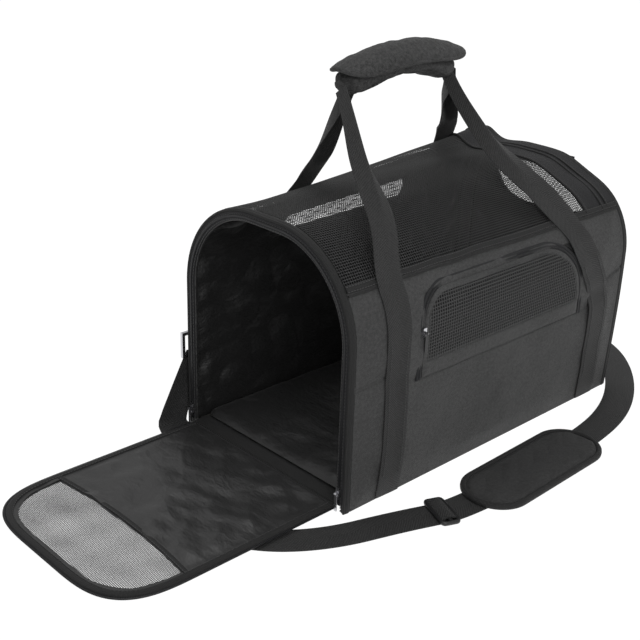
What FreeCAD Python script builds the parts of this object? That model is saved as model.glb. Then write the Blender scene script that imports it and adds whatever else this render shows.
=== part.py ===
import FreeCAD, Part
import math
import os

import Sketcher
from FreeCAD import Placement, Rotation, Vector

# Soft-sided pet carrier, millimetres. X runs along the bag with the open front door at -X,
# the right side faces -Y and +Z is up. The origin is the centre of the base, on the floor.

SIZES = {
    # outer box of the bag and the round shoulders of its arch-shaped section
    "bag_length": 500, "bag_width": 270, "bag_height": 298, "shoulder_radius": 112,
    # padded walls and base
    "wall_gauge": 3, "base_gauge": 3, "board_gauge": 3, "board_margin": 4,
    "pad_gauge": 13.7, "pad_margin": 8, "lay_gap": 0.3,
    # seam between the padded side and the mesh roof
    "seam_drop": 50, "mesh_inset": 0.6, "mesh_gauge": 1.2, "seam_tape_width": 8,
    # vents through the side walls, behind the pockets
    "vent_front": -118, "vent_rear": 135, "vent_low": 200, "vent_top": 222,
    # the two arched end frames: bound edge, spring hoop, facing and zip track
    "end_depth": 13.8, "binding_depth": 7, "binding_width": 7,
    "hoop_gauge": 3, "hoop_inset": 3, "hoop_gap": 0.1,
    "facing_gauge": 2.5, "facing_width": 13,
    "track_inset": 3, "track_width": 10, "tape_gauge": 1.2,
    "coil_width": 2.4, "coil_height": 1, "coil_inset": 8, "track_start": 10,
    # doors and their fabric hinges
    "hinge_height": 5.5, "hinge_roll": 2.5, "hinge_gap": 0.7, "hinge_side": 0.4,
    "door_gap": 0.3, "door_edge_gap": 0.4, "door_tape_width": 3.6, "door_tape_gauge": 3,
    "door_binding_width": 7, "door_binding_gauge": 5, "door_panel_gauge": 3,
    "window_side": 37, "window_tip": 27, "window_corner": 74, "window_drop": 104,
    "window_sag": 11, "door_mesh_gauge": 1.2,
    # zipped pocket on each side
    "pocket_front": -136, "pocket_rear": 150, "pocket_low": 128, "pocket_top": 226,
    "pocket_front_round": 36, "pocket_rear_round": 75, "pocket_foot_round": 12,
    "pocket_track_width": 5, "pocket_gauge": 2.5, "pocket_gap": 0.3, "pocket_edge_gap": 0.4,
    "hem_height": 22, "pocket_rim": 12, "pocket_mesh_gauge": 1.2, "pocket_mesh_set": 0.7,
    # carry straps and the padded grip
    "webbing_width": 38, "webbing_gauge": 2, "strap_gap": 0.3, "strap_lift": 2.6,
    "leg_front": -164, "leg_front_foot": -181, "leg_rear": 192, "leg_rear_top": 128,
    "leg_lean_start": 150, "leave_drop": 54, "leg_foot": 2,
    "free_lean": 0.45, "free_rise": 22, "free_out": 27, "free_width": 27, "free_gauge": 3,
    "free_step": 2, "free_pinch": 36, "mouth_lean": 0.35, "mouth_step": 1.5,
    "grip_centre": -45, "grip_radius": 212, "grip_axis_height": 230, "grip_thick": 40,
    "grip_half_width": 28, "grip_half_angle": 26, "grip_channel": 9, "grip_cover_gauge": 6.7,
    "grip_round": 9, "folded_width": 19, "folded_gauge": 4, "grip_strap_gap": 1.6,
    # zip sliders and pulls
    "slider_width": 5, "slider_length": 12, "slider_gauge": 2.4, "slider_gap": 0.3,
    "bridge_height": 2.4, "bridge_gauge": 1.2, "pull_width": 4.4, "pull_length": 19,
    "pull_gauge": 1.2, "pull_gap": 0.25, "front_slider_height": 24, "pocket_slider_height": 183,
    # shoulder strap, its pad, adjuster, hooks and rings
    "sling_width": 38, "sling_gauge": 1.6, "sling_bend": 10, "sling_stand": 6.5,
    "sling_side_gap": 1.2, "route_length": 500, "route_width": 270, "shoulder_pad_length": 216, "shoulder_pad_width": 80,
    "shoulder_pad_round": 38, "shoulder_pad_gauge": 9, "shoulder_pad_share": 0.535,
    "pad_side_gap": 4,
    "adjuster_length": 24, "adjuster_width": 50, "adjuster_gauge": 5.5, "adjuster_round": 3,
    "adjuster_bar": 4, "adjuster_share": 0.61,
    "ring_inset": 25, "ring_bar_height": 150, "ring_inner": 11, "ring_gauge": 3.4,
    "ring_gap": 0.2, "tab_width": 20, "tab_height": 34, "tab_gauge": 4, "tab_eye": 1.5,
    "hook_bar_height": 88, "hook_bar_gauge": 4, "hook_barrel": 9, "hook_neck": 14,
    "hook_eye": 4.2, "hook_gauge": 3.2, "sling_loop_gap": 0.3,
}

DOC = FreeCAD.newDocument("pet_carrier")
SHEET = DOC.addObject("Spreadsheet::Sheet", "Sizes")
for row, (alias, number) in enumerate(SIZES.items(), start=1):
    SHEET.set(f"A{row}", alias)
    SHEET.set(f"B{row}", str(number))
    SHEET.setAlias(f"B{row}", alias)
DOC.recompute()

PARTS = {}


def cells(expression):
    """The expression with each alias written as a cell of the sheet."""
    words, word = [], ""
    for letter in str(expression) + " ":
        if letter.isalnum() or letter == "_":
            word += letter
            continue
        words.append("Sizes." + word if word in SIZES else word)
        words.append(letter)
        word = ""
    return "".join(words).strip()


def value(expression):
    """The number that an expression on the sheet's cells comes to."""
    return float(SHEET.evalExpression(cells(expression)))


def add_part(name, obj):
    """Keep an object as the sub-part of that name."""
    obj.Label = name
    PARTS[name] = obj
    return obj


def turned(degrees, axis=(0, 0, 1), centre=(0, 0, 0)):
    """A placement that turns about an axis through a centre."""
    return Placement(Vector(0, 0, 0), Rotation(Vector(*axis), degrees), Vector(*centre))


HALF_TURN = turned(180)


# ---- sketches: every corner and radius is an expression on the sheet ----------------------

def draw_loop(sketch, corners):
    """A closed outline. Each corner is (across, up) or (across, up, radius, side): with a
    radius, an arc of it runs to the next corner with its centre on that side, 1 for left."""
    first = sketch.GeometryCount
    points = [Vector(value(c[0]), value(c[1]), 0) for c in corners]
    for i, corner in enumerate(corners):
        start, end = points[i], points[(i + 1) % len(points)]
        if len(corner) == 2:
            sketch.addGeometry(Part.LineSegment(start, end), False)
            continue
        radius, side = value(corner[2]), corner[3]
        chord = end - start
        half = chord.Length / 2
        normal = Vector(-chord.y, chord.x, 0).normalize()
        centre = (start + end) * 0.5 + normal * (side * math.sqrt(max(radius**2 - half**2, 0)))
        middle = centre - normal * (side * radius)
        sketch.addGeometry(Part.Arc(start, middle, end), False)
    for i, corner in enumerate(corners):
        geometry, after = first + i, first + (i + 1) % len(corners)
        # an arc drawn clockwise swaps its ends, so the meeting ends are found by place
        here = end_at(sketch, geometry, points[i])
        far = 3 - here
        sketch.addConstraint(Sketcher.Constraint(
            "Coincident", geometry, far, after, end_at(sketch, after, points[(i + 1) % len(points)])))
        for kind, expression in (("DistanceX", corner[0]), ("DistanceY", corner[1])):
            number = points[i].x if kind == "DistanceX" else points[i].y
            bind(sketch, Sketcher.Constraint(kind, -1, 1, geometry, here, number), expression)
        if len(corner) == 4:
            bind(sketch, Sketcher.Constraint("Radius", geometry, value(corner[2])), corner[2])


def end_at(sketch, geometry, point):
    """1 or 2, the end of a sketch line or arc that lies at a point."""
    ends = [sketch.getPoint(geometry, end) for end in (1, 2)]
    return 1 if ends[0].distanceToPoint(point) <= ends[1].distanceToPoint(point) else 2


def bind(sketch, constraint, expression):
    """Add a constraint whose size follows an expression."""
    index = sketch.addConstraint(constraint)
    sketch.renameConstraint(index, f"size_{index}")
    sketch.setExpression(f"Constraints.size_{index}", cells(expression))


def sketch_on(body, plane, loops, offset="0"):
    """A sketch on one of the body's planes, moved along the plane's normal."""
    sketch = body.newObject("Sketcher::SketchObject", "Outline")
    support = next(o for o in body.Origin.OriginFeatures if o.Role == plane)
    sketch.AttachmentSupport = [(support, "")]
    sketch.MapMode = "FlatFace"
    sketch.setExpression("AttachmentOffset.Base.z", cells(offset))
    for corners in loops:
        draw_loop(sketch, corners)
    return sketch


def pad(body, plane, loops, length, offset="0", symmetric=False):
    """Pad outlines of one plane by a length, from an offset or both ways."""
    feature = body.newObject("PartDesign::Pad", "Pad")
    feature.Profile = sketch_on(body, plane, loops, offset)
    feature.setExpression("Length", cells(length))
    feature.SideType = "Symmetric" if symmetric else "One side"
    return feature


def pocket(body, plane, loops, length, offset="0", symmetric=False):
    """Cut outlines of one plane into the body."""
    feature = body.newObject("PartDesign::Pocket", "Pocket")
    feature.Profile = sketch_on(body, plane, loops, offset)
    feature.setExpression("Length", cells(length))
    feature.SideType = "Symmetric" if symmetric else "One side"
    return feature


def new_body(name, place=None):
    """An empty PartDesign body that is the sub-part of that name."""
    body = add_part(name, DOC.addObject("PartDesign::Body", name))
    if place is not None:
        body.Placement = place
    return body


# ---- outlines that the pieces share -------------------------------------------------------

SIDE_TOP = "(bag_height - shoulder_radius)"
ROUND_CENTRE = "(bag_width / 2 - shoulder_radius)"
SEAM = "(bag_height - seam_drop)"
WINDOW_LOW = "(bag_height - window_drop)"
RING_PLACE = "(bag_length / 2 - ring_inset)"
SLING_PLANE = "(bag_width / 2 + sling_stand)"


def box_loop(left, right, low, high):
    """A rectangle."""
    return [(right, low), (right, high), (left, high), (left, low)]


def arch_loop(inset, floor):
    """The bag's arched section, drawn inwards by an inset, standing on a floor height."""
    wide = f"(bag_width / 2 - ({inset}))"
    top = f"(bag_height - ({inset}))"
    radius = f"(shoulder_radius - ({inset}))"
    return [
        (wide, floor), (wide, SIDE_TOP, radius, 1), (ROUND_CENTRE, top),
        (f"-{ROUND_CENTRE}", top, radius, 1), (f"-{wide}", SIDE_TOP), (f"-{wide}", floor),
    ]


def arch_band(outer, inner, floor):
    """A strip between two insets, open at the floor, as the zip track runs."""
    band = arch_loop(outer, floor)
    back = arch_loop(inner, floor)
    corners = [band[0], band[1], band[2], band[3], band[4], band[5]]
    radius = back[1][2]
    corners += [back[5], (*back[4], radius, -1), back[3][:2], (*back[2], radius, -1), back[1][:2], back[0]]
    return corners


def wall_loop(outer, inner, low, high):
    """A side wall's section: upright to the shoulder, then round to a height, on the -Y side."""
    def reach(inset):
        radius = f"(shoulder_radius - ({inset}))"
        return f"-({ROUND_CENTRE} + sqrt({radius} ^ 2 - ({high} - {SIDE_TOP}) ^ 2))", radius

    outer_end, outer_radius = reach(outer)
    inner_end, inner_radius = reach(inner)
    return [
        (f"-(bag_width / 2 - ({outer}))", low), (f"-(bag_width / 2 - ({inner}))", low),
        (f"-(bag_width / 2 - ({inner}))", SIDE_TOP, inner_radius, -1),
        (inner_end, high), (outer_end, high, outer_radius, 1),
        (f"-(bag_width / 2 - ({outer}))", SIDE_TOP),
    ]


def roof_loop(outer, inner, low):
    """The mesh roof's section, from one side seam over to the other."""
    corners = []
    for inset, side in ((outer, 1), (inner, -1)):
        radius = f"(shoulder_radius - ({inset}))"
        reach = f"({ROUND_CENTRE} + sqrt({radius} ^ 2 - ({low} - {SIDE_TOP}) ^ 2))"
        top = f"(bag_height - ({inset}))"
        span = [(reach, low), (ROUND_CENTRE, top), (f"-{ROUND_CENTRE}", top), (f"-{reach}", low)]
        if side > 0:
            corners += [(*span[0], radius, 1), span[1], (*span[2], radius, 1), span[3]]
        else:
            corners += [(*span[3], radius, -1), span[2], (*span[1], radius, -1), span[0]]
    return corners


def window_loop():
    """The mesh window near the tip of a door, with a bowed lower edge."""
    wide = "(bag_width / 2 - window_side)"
    top = "(bag_height - window_tip)"
    inner = "(bag_width / 2 - window_side - window_corner)"
    shoulder = "(bag_height - window_tip - window_corner)"
    bow = "(((bag_width / 2 - window_side) ^ 2 + window_sag ^ 2) / (2 * window_sag))"
    return [
        (wide, WINDOW_LOW), (wide, shoulder, "window_corner", 1), (inner, top),
        (f"-{inner}", top, "window_corner", 1), (f"-{wide}", shoulder),
        (f"-{wide}", WINDOW_LOW, bow, 1),
    ]


def pocket_loop(grow):
    """The D outline of a pocket seen from its side, x across and z up."""
    rear = f"(pocket_rear + ({grow}))"
    front = f"(pocket_front - ({grow}))"
    low = f"(pocket_low - ({grow}))"
    top = f"(pocket_top + ({grow}))"
    return [
        (rear, low),
        (rear, "pocket_top - pocket_rear_round", f"pocket_rear_round + ({grow})", 1),
        ("pocket_rear - pocket_rear_round", top),
        ("pocket_front + pocket_front_round", top, f"pocket_front_round + ({grow})", 1),
        (front, "pocket_top - pocket_front_round"),
        (front, "pocket_low + pocket_foot_round", f"pocket_foot_round + ({grow})", 1),
        ("pocket_front + pocket_foot_round", low),
    ]


def pocket_track_loop():
    """The zip's strip round the pocket, open along the hem where the flap folds."""
    rear_round, front_round = "pocket_rear_round", "pocket_front_round"
    out = "pocket_track_width"
    return [
        (f"pocket_rear + {out}", "pocket_low"),
        (f"pocket_rear + {out}", f"pocket_top - {rear_round}", f"{rear_round} + {out}", 1),
        (f"pocket_rear - {rear_round}", f"pocket_top + {out}"),
        (f"pocket_front + {front_round}", f"pocket_top + {out}", f"{front_round} + {out}", 1),
        (f"pocket_front - {out}", f"pocket_top - {front_round}"),
        (f"pocket_front - {out}", "pocket_low"),
        ("pocket_front", "pocket_low"),
        ("pocket_front", f"pocket_top - {front_round}", front_round, -1),
        (f"pocket_front + {front_round}", "pocket_top"),
        (f"pocket_rear - {rear_round}", "pocket_top", rear_round, -1),
        ("pocket_rear", f"pocket_top - {rear_round}"), ("pocket_rear", "pocket_low"),
    ]


def pocket_window_loop():
    """The mesh opening of a pocket, inside its rim and above its hem."""
    front, rear = "(pocket_front + pocket_rim)", "(pocket_rear - pocket_rim)"
    top, low = "(pocket_top - pocket_rim / 2)", "(pocket_low + hem_height)"
    front_round = "(pocket_front_round - pocket_rim / 2)"
    rear_round = "(pocket_rear_round - pocket_rim)"
    return [
        (rear, low), (rear, f"{top} - {rear_round}", rear_round, 1), (f"{rear} - {rear_round}", top),
        (f"{front} + {front_round}", top, front_round, 1), (front, f"{top} - {front_round}"),
        (front, low),
    ]


def frame_round(loops):
    """Loops inside one large rectangle, so that a cut leaves only what is inside them."""
    return [box_loop("-bag_length", "bag_length", "-bag_height", "2 * bag_height"), *loops]


# ---- base, walls and roof -----------------------------------------------------------------

INNER_LENGTH = "(bag_length - 2 * end_depth)"
INNER_HALF = "(bag_width / 2 - wall_gauge)"


def slab(name, half_length, half_width, low, gauge):
    """A flat rectangular layer of the base."""
    body = new_body(name)
    loop = box_loop(f"-({half_length})", half_length, f"-({half_width})", half_width)
    pad(body, "XY_Plane", [loop], gauge, low)


def base():
    """The bottom cloth, the stiffening board on it and the removable floor pad."""
    slab("bottom_panel", f"{INNER_LENGTH} / 2", INNER_HALF, "0", "base_gauge")
    slab("base_board", f"{INNER_LENGTH} / 2 - board_margin", f"{INNER_HALF} - board_margin",
         "base_gauge", "board_gauge")
    slab("floor_pad", f"{INNER_LENGTH} / 2 - pad_margin", f"{INNER_HALF} - pad_margin",
         "base_gauge + board_gauge + lay_gap", "pad_gauge")


def side_wall(side, place):
    """One padded side with its vent, the mesh in the vent and the tape along its top seam."""
    vent = [box_loop("vent_front", "vent_rear", "vent_low", "vent_top")]
    body = new_body(f"{side}_side_panel", place)
    pad(body, "YZ_Plane", [wall_loop("0", "wall_gauge", "0", SEAM)], INNER_LENGTH, symmetric=True)
    pocket(body, "XZ_Plane", vent, "2 * bag_width", symmetric=True)
    mesh = new_body(f"{side}_vent_mesh", place)
    section = wall_loop("mesh_inset", "mesh_inset + mesh_gauge", "vent_low - wall_gauge", SEAM)
    pad(mesh, "YZ_Plane", [section], INNER_LENGTH, symmetric=True)
    pocket(mesh, "XZ_Plane", frame_round(vent), "2 * bag_width", symmetric=True)
    tape = new_body(f"{side}_seam_tape", place)
    section = tape_loop("0", "mesh_inset", SEAM, f"{SEAM} + seam_tape_width")
    pad(tape, "YZ_Plane", [section], INNER_LENGTH, symmetric=True)


def tape_loop(outer, inner, low, high):
    """A narrow strip of the shoulder between two heights, on the -Y side."""
    corners = []
    for inset, heights, side in ((inner, (low, high), -1), (outer, (high, low), 1)):
        radius = f"(shoulder_radius - ({inset}))"
        ends = [
            (f"-({ROUND_CENTRE} + sqrt({radius} ^ 2 - ({height} - {SIDE_TOP}) ^ 2))", height)
            for height in heights
        ]
        corners += [(*ends[0], radius, side), ends[1]]
    return corners


def roof():
    """The mesh roof between the two seams."""
    body = new_body("top_mesh")
    section = roof_loop("mesh_inset", "mesh_inset + mesh_gauge", SEAM)
    pad(body, "YZ_Plane", [section], INNER_LENGTH, symmetric=True)


# ---- arched ends --------------------------------------------------------------------------
# Both ends are drawn at the front, outwards being -X, and the rear one is turned half round.

FRAME_FACE = "(bag_length / 2 - end_depth + binding_depth)"
HINGE_PLANE = "(bag_length / 2 - end_depth + binding_depth + door_gap + hinge_roll)"
DOOR_INSET = "(track_inset + track_width + door_edge_gap)"
DOOR_FLOOR = "(hinge_height + hinge_roll + hinge_gap)"


def hoop_path():
    """The closed line of the spring wire, with rounded feet."""
    inset = value("hoop_inset")
    wide, top = value("bag_width") / 2 - inset, value("bag_height") - inset
    bend, foot = value("shoulder_radius") - inset, value("binding_width") - inset
    along = -(value("bag_length") / 2 - value("end_depth") + value("hoop_gap") + value("hoop_gauge") / 2)
    corners = [(wide, inset, foot), (wide, top, bend), (-wide, top, bend), (-wide, inset, foot)]
    edges, last = [], None
    for i, (y, z, radius) in enumerate(corners):
        here = Vector(along, y, z)
        before = Vector(along, *corners[i - 1][:2])
        after = Vector(along, *corners[(i + 1) % 4][:2])
        start = here + (before - here).normalize() * radius
        end = here + (after - here).normalize() * radius
        centre = start + end - here
        middle = centre + (here - centre).normalize() * radius
        if last is not None:
            edges.append(Part.LineSegment(last, start).toShape())
        edges.append(Part.Arc(start, middle, end).toShape())
        first = start if last is None else first
        last = end
    edges.append(Part.LineSegment(last, first).toShape())
    return Part.Wire(edges)


def end_frame(end, place):
    """The bound edge, the spring hoop in it, the facing inside it and the zip track."""
    binding = new_body(f"{end}_binding", place)
    pad(binding, "YZ_Plane", [arch_loop("0", "0"), arch_loop("binding_width", "binding_width")],
        "binding_depth", f"-{FRAME_FACE}")
    groove = [arch_loop(f"hoop_inset {sign} (hoop_gauge / 2 + hoop_gap)",
                        f"hoop_inset {sign} (hoop_gauge / 2 + hoop_gap)") for sign in "-+"]
    pocket(binding, "YZ_Plane", groove, "2 * (hoop_gauge + 2 * hoop_gap)",
           "-(bag_length / 2 - end_depth)", symmetric=True)

    path = hoop_path()
    start = path.Vertexes[0].Point
    circle = Part.Circle(start, path.Edges[0].tangentAt(path.Edges[0].FirstParameter), value("hoop_gauge") / 2)
    hoop = add_part(f"{end}_hoop_wire", DOC.addObject("Part::Feature", f"{end}_hoop_wire"))
    hoop.Shape = path.makePipeShell([Part.Wire(circle.toShape())], True, True)
    hoop.Placement = place

    facing = new_body(f"{end}_facing", place)
    inner = "binding_width + facing_width"
    pad(facing, "YZ_Plane", [arch_loop("binding_width", "binding_width"), arch_loop(inner, inner)],
        "facing_gauge", f"-{FRAME_FACE}")

    track = new_body(f"{end}_zip_track", place)
    pad(track, "YZ_Plane", [arch_band("track_inset", "track_inset + track_width", "track_start")],
        "tape_gauge", f"-({FRAME_FACE} + tape_gauge)")
    pad(track, "YZ_Plane", [arch_band("coil_inset - coil_width / 2", "coil_inset + coil_width / 2", "track_start")],
        "coil_height", f"-({FRAME_FACE} + tape_gauge + coil_height)")

    hinge = add_part(f"{end}_hinge_tape", DOC.addObject("Part::Cylinder", f"{end}_hinge_tape"))
    hinge.setExpression("Radius", cells("hinge_roll"))
    hinge.setExpression("Height", cells(f"bag_width - 2 * ({DOOR_INSET} + hinge_side)"))
    half = value(f"bag_width / 2 - ({DOOR_INSET} + hinge_side)")
    lie = Placement(Vector(-value(HINGE_PLANE), half, value("hinge_height")), Rotation(Vector(1, 0, 0), 90))
    hinge.Placement = place.multiply(lie)


def door(end, place):
    """A door drawn shut: bound rim, zip tape on its edge, cloth panel and mesh window."""
    def layer(name, loops, gauge):
        body = new_body(f"{end}_door_{name}", place)
        pad(body, "YZ_Plane", loops, gauge, f"-({HINGE_PLANE} + ({gauge}) / 2)")

    tape_end = f"({DOOR_INSET} + door_tape_width)"
    rim_end = f"({tape_end} + door_binding_width)"
    layer("zip_tape", [arch_band(DOOR_INSET, tape_end, DOOR_FLOOR)], "door_tape_gauge")
    layer("binding", [arch_band(tape_end, rim_end, DOOR_FLOOR)], "door_binding_gauge")
    layer("panel", [arch_loop(rim_end, DOOR_FLOOR), window_loop()], "door_panel_gauge")
    layer("mesh", [window_loop()], "door_mesh_gauge")


# ---- side pockets -------------------------------------------------------------------------

def side_pocket(side, place):
    """The zip track on the wall, the flap with its hem and rim, and the mesh in the flap."""
    def shell(name, outer, inner, low, loops):
        body = new_body(f"{side}_pocket_{name}", place)
        section = wall_loop(outer, inner, low, f"{SEAM} - seam_tape_width")
        pad(body, "YZ_Plane", [section], INNER_LENGTH, symmetric=True)
        pocket(body, "XZ_Plane", frame_round(loops), "2 * bag_width", symmetric=True)

    shell("zip_track", "-tape_gauge", "0", "pocket_low - pocket_track_width", [pocket_track_loop()])
    shell("flap", "-(pocket_gap + pocket_gauge)", "-pocket_gap", "pocket_low - pocket_track_width",
          [pocket_loop("-pocket_edge_gap"), pocket_window_loop()])
    mesh_in = "(pocket_gap + pocket_mesh_set)"
    shell("mesh", f"-({mesh_in} + pocket_mesh_gauge)", f"-{mesh_in}", "pocket_low", [pocket_window_loop()])


# ---- carry straps and grip ----------------------------------------------------------------

def strip(stations):
    """A strip lofted through stations of (centre, width direction, width, gauge)."""
    sections = []
    for i, (centre, across, width, gauge) in enumerate(stations):
        before = stations[max(i - 1, 0)][0]
        after = stations[min(i + 1, len(stations) - 1)][0]
        along = (after - before).normalize()
        across = Vector(across).normalize()
        through = along.cross(across).normalize()
        sides = [(1, 1), (1, -1), (-1, -1), (-1, 1)]
        points = [centre + across * (a * width / 2) + through * (b * gauge / 2) for a, b in sides]
        sections.append(Part.makePolygon(points + points[:1]))
    return Part.makeLoft(sections, True, True)


def leg_stations(side, foot, base, top, lifted):
    """Stations of one leg, from its sewn foot up the wall and round the shoulder."""
    width, gauge = value("webbing_width"), value("webbing_gauge")
    leave, shoulder = value("bag_height - leave_drop"), value(SIDE_TOP)
    lean = value("leg_lean_start")

    def lift(height):
        """How far the strip's middle stands off the wall, more where it crosses the zip."""
        rest = value("strap_gap") + gauge / 2
        return rest + (value("strap_lift") if lifted and height > lean else 0)

    def place(height):
        slope = min(max((height - lean) / (leave - lean), 0), 1)
        along = base + (top - base) * slope
        if height < lean / 2:
            along += (foot - base) * (1 - height / (lean / 2))
        rise = max(height - shoulder, 0)
        reach = value("shoulder_radius") + lift(height)
        across = math.sqrt(reach**2 - rise**2) + value(ROUND_CENTRE)
        return Vector(along, side * across, height)

    heights = [value("leg_foot"), lean / 2, lean - value("webbing_width") / 2, lean + 2, shoulder]
    steps = 4
    heights += [shoulder + (leave - shoulder) * i / steps for i in range(1, steps + 1)]
    return [(place(z), (1, 0, 0), width, gauge) for z in heights]


def grip_point(angle, across):
    """A point on the grip's middle line, by its angle from the top, in degrees."""
    turn = math.radians(angle)
    radius = value("grip_radius")
    return Vector(value("grip_centre") + radius * math.sin(turn), across,
                  value("grip_axis_height") + radius * math.cos(turn))


def carry_strap(name, side, front, rear):
    """One webbing loop: up one leg, folded double through the grip and down the other."""
    folded = (value("folded_width"), value("folded_gauge"))
    line = side * (value("folded_width") + value("grip_strap_gap")) / 2
    half = value("grip_half_angle")

    def free(leg, end):
        """The free run from the shoulder to the grip's mouth, which twists as it folds."""
        last = leg[-1][0]
        mouth = grip_point(end * (half + value("mouth_step")), line)
        hand = Vector(mouth.x - end * value("free_step"), side * value("free_out"),
                      mouth.z - value("free_rise"))
        full, gauge = value("webbing_width"), value("webbing_gauge")
        run = [
            (last + (hand - last) * share, (1, 0, 0), width, gauge)
            for share, width in ((0.35, full), (0.7, value("free_pinch")))
        ]
        run.append((hand, (1, -end * side * value("free_lean"), 0),
                    value("free_width"), value("free_gauge")))
        run.append((mouth, (-end * value("mouth_lean"), side, 0), *folded))
        return run

    over = [
        (grip_point(half * share, line), (0, side, 0), *folded)
        for share in (-0.9, -0.45, 0, 0.45, 0.9)
    ]
    first = front + free(front, -1)
    last = rear + free(rear, 1)
    flipped = [(c, (-Vector(*a)), w, g) for c, a, w, g in reversed(last)]
    over_to = [(c, a, w, g) for c, a, w, g in over]
    solids = [strip(first), strip([first[-1]] + over_to + [flipped[0]]), strip(flipped)]
    strap = add_part(name, DOC.addObject("Part::Feature", name))
    strap.Shape = solids[0].multiFuse(solids[1:])


def carry_straps():
    """The right strap, and the left one, which is sewn as the right one turned half round."""
    legs = {key: value(f"leg_{key}") for key in ("front", "front_foot", "rear", "rear_top")}
    carry_strap(
        "right_carry_strap", -1,
        leg_stations(-1, legs["front_foot"], legs["front"], legs["front"], False),
        leg_stations(-1, legs["rear"], legs["rear"], legs["rear_top"], True))
    carry_strap(
        "left_carry_strap", 1,
        leg_stations(1, -legs["rear"], -legs["rear"], -legs["rear_top"], True),
        leg_stations(1, -legs["front_foot"], -legs["front"], -legs["front"], False))


def grip_sector(low, high):
    """A band of the arched grip seen from the side, between two radii."""
    sin, cos = "sin(grip_half_angle)", "cos(grip_half_angle)"
    def end(radius, side):
        return (f"grip_centre + {side} * ({radius}) * {sin}", f"grip_axis_height + ({radius}) * {cos}")
    return [
        end(low, 1), (*end(high, 1), high, 1), end(high, -1), (*end(low, -1), low, -1),
    ]


def grip():
    """The padded saddle round the straps, open on one side, and the cover that shuts it."""
    under, over = "(grip_radius - grip_thick / 2)", "(grip_radius + grip_thick / 2)"
    saddle = new_body("grip_saddle")
    cover_plane = "(grip_half_width - grip_cover_gauge)"
    pad(saddle, "XZ_Plane", [grip_sector(under, over)],
        f"grip_half_width + {cover_plane}", "-grip_half_width")
    channel = grip_sector("(grip_radius - grip_channel / 2)", "(grip_radius + grip_channel / 2)")
    reach = "(folded_width + grip_strap_gap / 2 + lay_gap)"
    pocket(saddle, "XZ_Plane", [channel], f"{reach} + {cover_plane}", cover_plane)
    soften(saddle, "grip_half_width", "grip_round")
    cover = new_body("grip_cover")
    pad(cover, "XZ_Plane", [grip_sector(under, over)], "grip_cover_gauge - lay_gap", f"{cover_plane} + lay_gap")
    soften(cover, "-grip_half_width", "grip_cover_gauge - 2 * lay_gap")


def soften(body, plane, radius):
    """Round the two long arched edges of a grip piece that lie at a place across the grip."""
    DOC.recompute()
    base, across = body.Tip, value(plane)
    edges = [
        f"Edge{i}" for i, edge in enumerate(base.Shape.Edges, start=1)
        if all(abs(v.Point.y - across) < 0.01 for v in edge.Vertexes) and hasattr(edge.Curve, "Radius")
    ]
    feature = body.newObject("PartDesign::Fillet", "Fillet")
    feature.Base = (base, edges)
    feature.setExpression("Radius", cells(radius))


# ---- zip sliders and pulls ----------------------------------------------------------------

def block(name, size, corner):
    """A Part box of expression sizes with its low corner at expressions."""
    box = DOC.addObject("Part::Box", name)
    for side, expression in zip(("Length", "Width", "Height"), size):
        box.setExpression(side, cells(expression))
    for axis, expression in zip("xyz", corner):
        box.setExpression(f"Placement.Base.{axis}", cells(expression))
    return box


def rod(name, radius, height, corner, turn=None):
    """A Part cylinder of expression sizes, along Z unless it is turned."""
    cylinder = DOC.addObject("Part::Cylinder", name)
    cylinder.setExpression("Radius", cells(radius))
    cylinder.setExpression("Height", cells(height))
    if turn is not None:
        cylinder.Placement = Placement(Vector(0, 0, 0), turn)
    for axis, expression in zip("xyz", corner):
        cylinder.setExpression(f"Placement.Base.{axis}", cells(expression))
    return cylinder


def joined(name, shapes, place, cut=None):
    """One sub-part fused from primitives, with one more cut out of it."""
    fuse = DOC.addObject("Part::MultiFuse", name)
    fuse.Shapes = shapes
    if cut is not None:
        whole = DOC.addObject("Part::Cut", name)
        whole.Base, whole.Tool = fuse, cut
        fuse = whole
    fuse.Placement = place
    return add_part(name, fuse)


def zip_slider(name, place):
    """A slider and its pull. Drawn with the zip along Z, its width along Y, outwards +X,
    and the origin on the zip tape's face under the middle of the slider."""
    low = "(coil_height + slider_gap)"
    top = f"({low} + slider_gauge)"
    across = Rotation(Vector(1, 0, 0), -90)
    body = block("shell", ("slider_gauge", "slider_width", "slider_length"),
                 (low, "-slider_width / 2", "-slider_length / 2"))
    posts = [
        block("post", (f"bridge_height + bridge_gauge / 2", "bridge_gauge / 2", "2 * bridge_gauge"),
              (top, f"{side} * slider_width / 2 - {edge}", "-bridge_gauge"))
        for side, edge in ((-1, "0"), (1, "bridge_gauge / 2"))
    ]
    bar = rod("bridge", "bridge_gauge / 2", "slider_width",
              (f"{top} + bridge_height - bridge_gauge / 2", "-slider_width / 2", "0"), across)
    joined(name, [body, *posts, bar], place)
    pivot = f"({top} + bridge_height - bridge_gauge / 2)"
    width = "(slider_width - bridge_gauge - 2 * pull_gap)"
    eye = rod("eye", "bridge_gauge / 2 + pull_gap + 0.75 * pull_gauge", width,
              (pivot, f"-{width} / 2", "0"), across)
    tag = block("tag", ("pull_gauge", width, "pull_length"),
                (f"{pivot} - pull_gauge / 2", f"-{width} / 2", "-pull_length - bridge_gauge"))
    bore = rod("bore", "bridge_gauge / 2 + pull_gap", "2 * slider_width", (pivot, "-slider_width", "0"), across)
    joined(f"{name}_pull", [eye, tag], place, bore)


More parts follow.
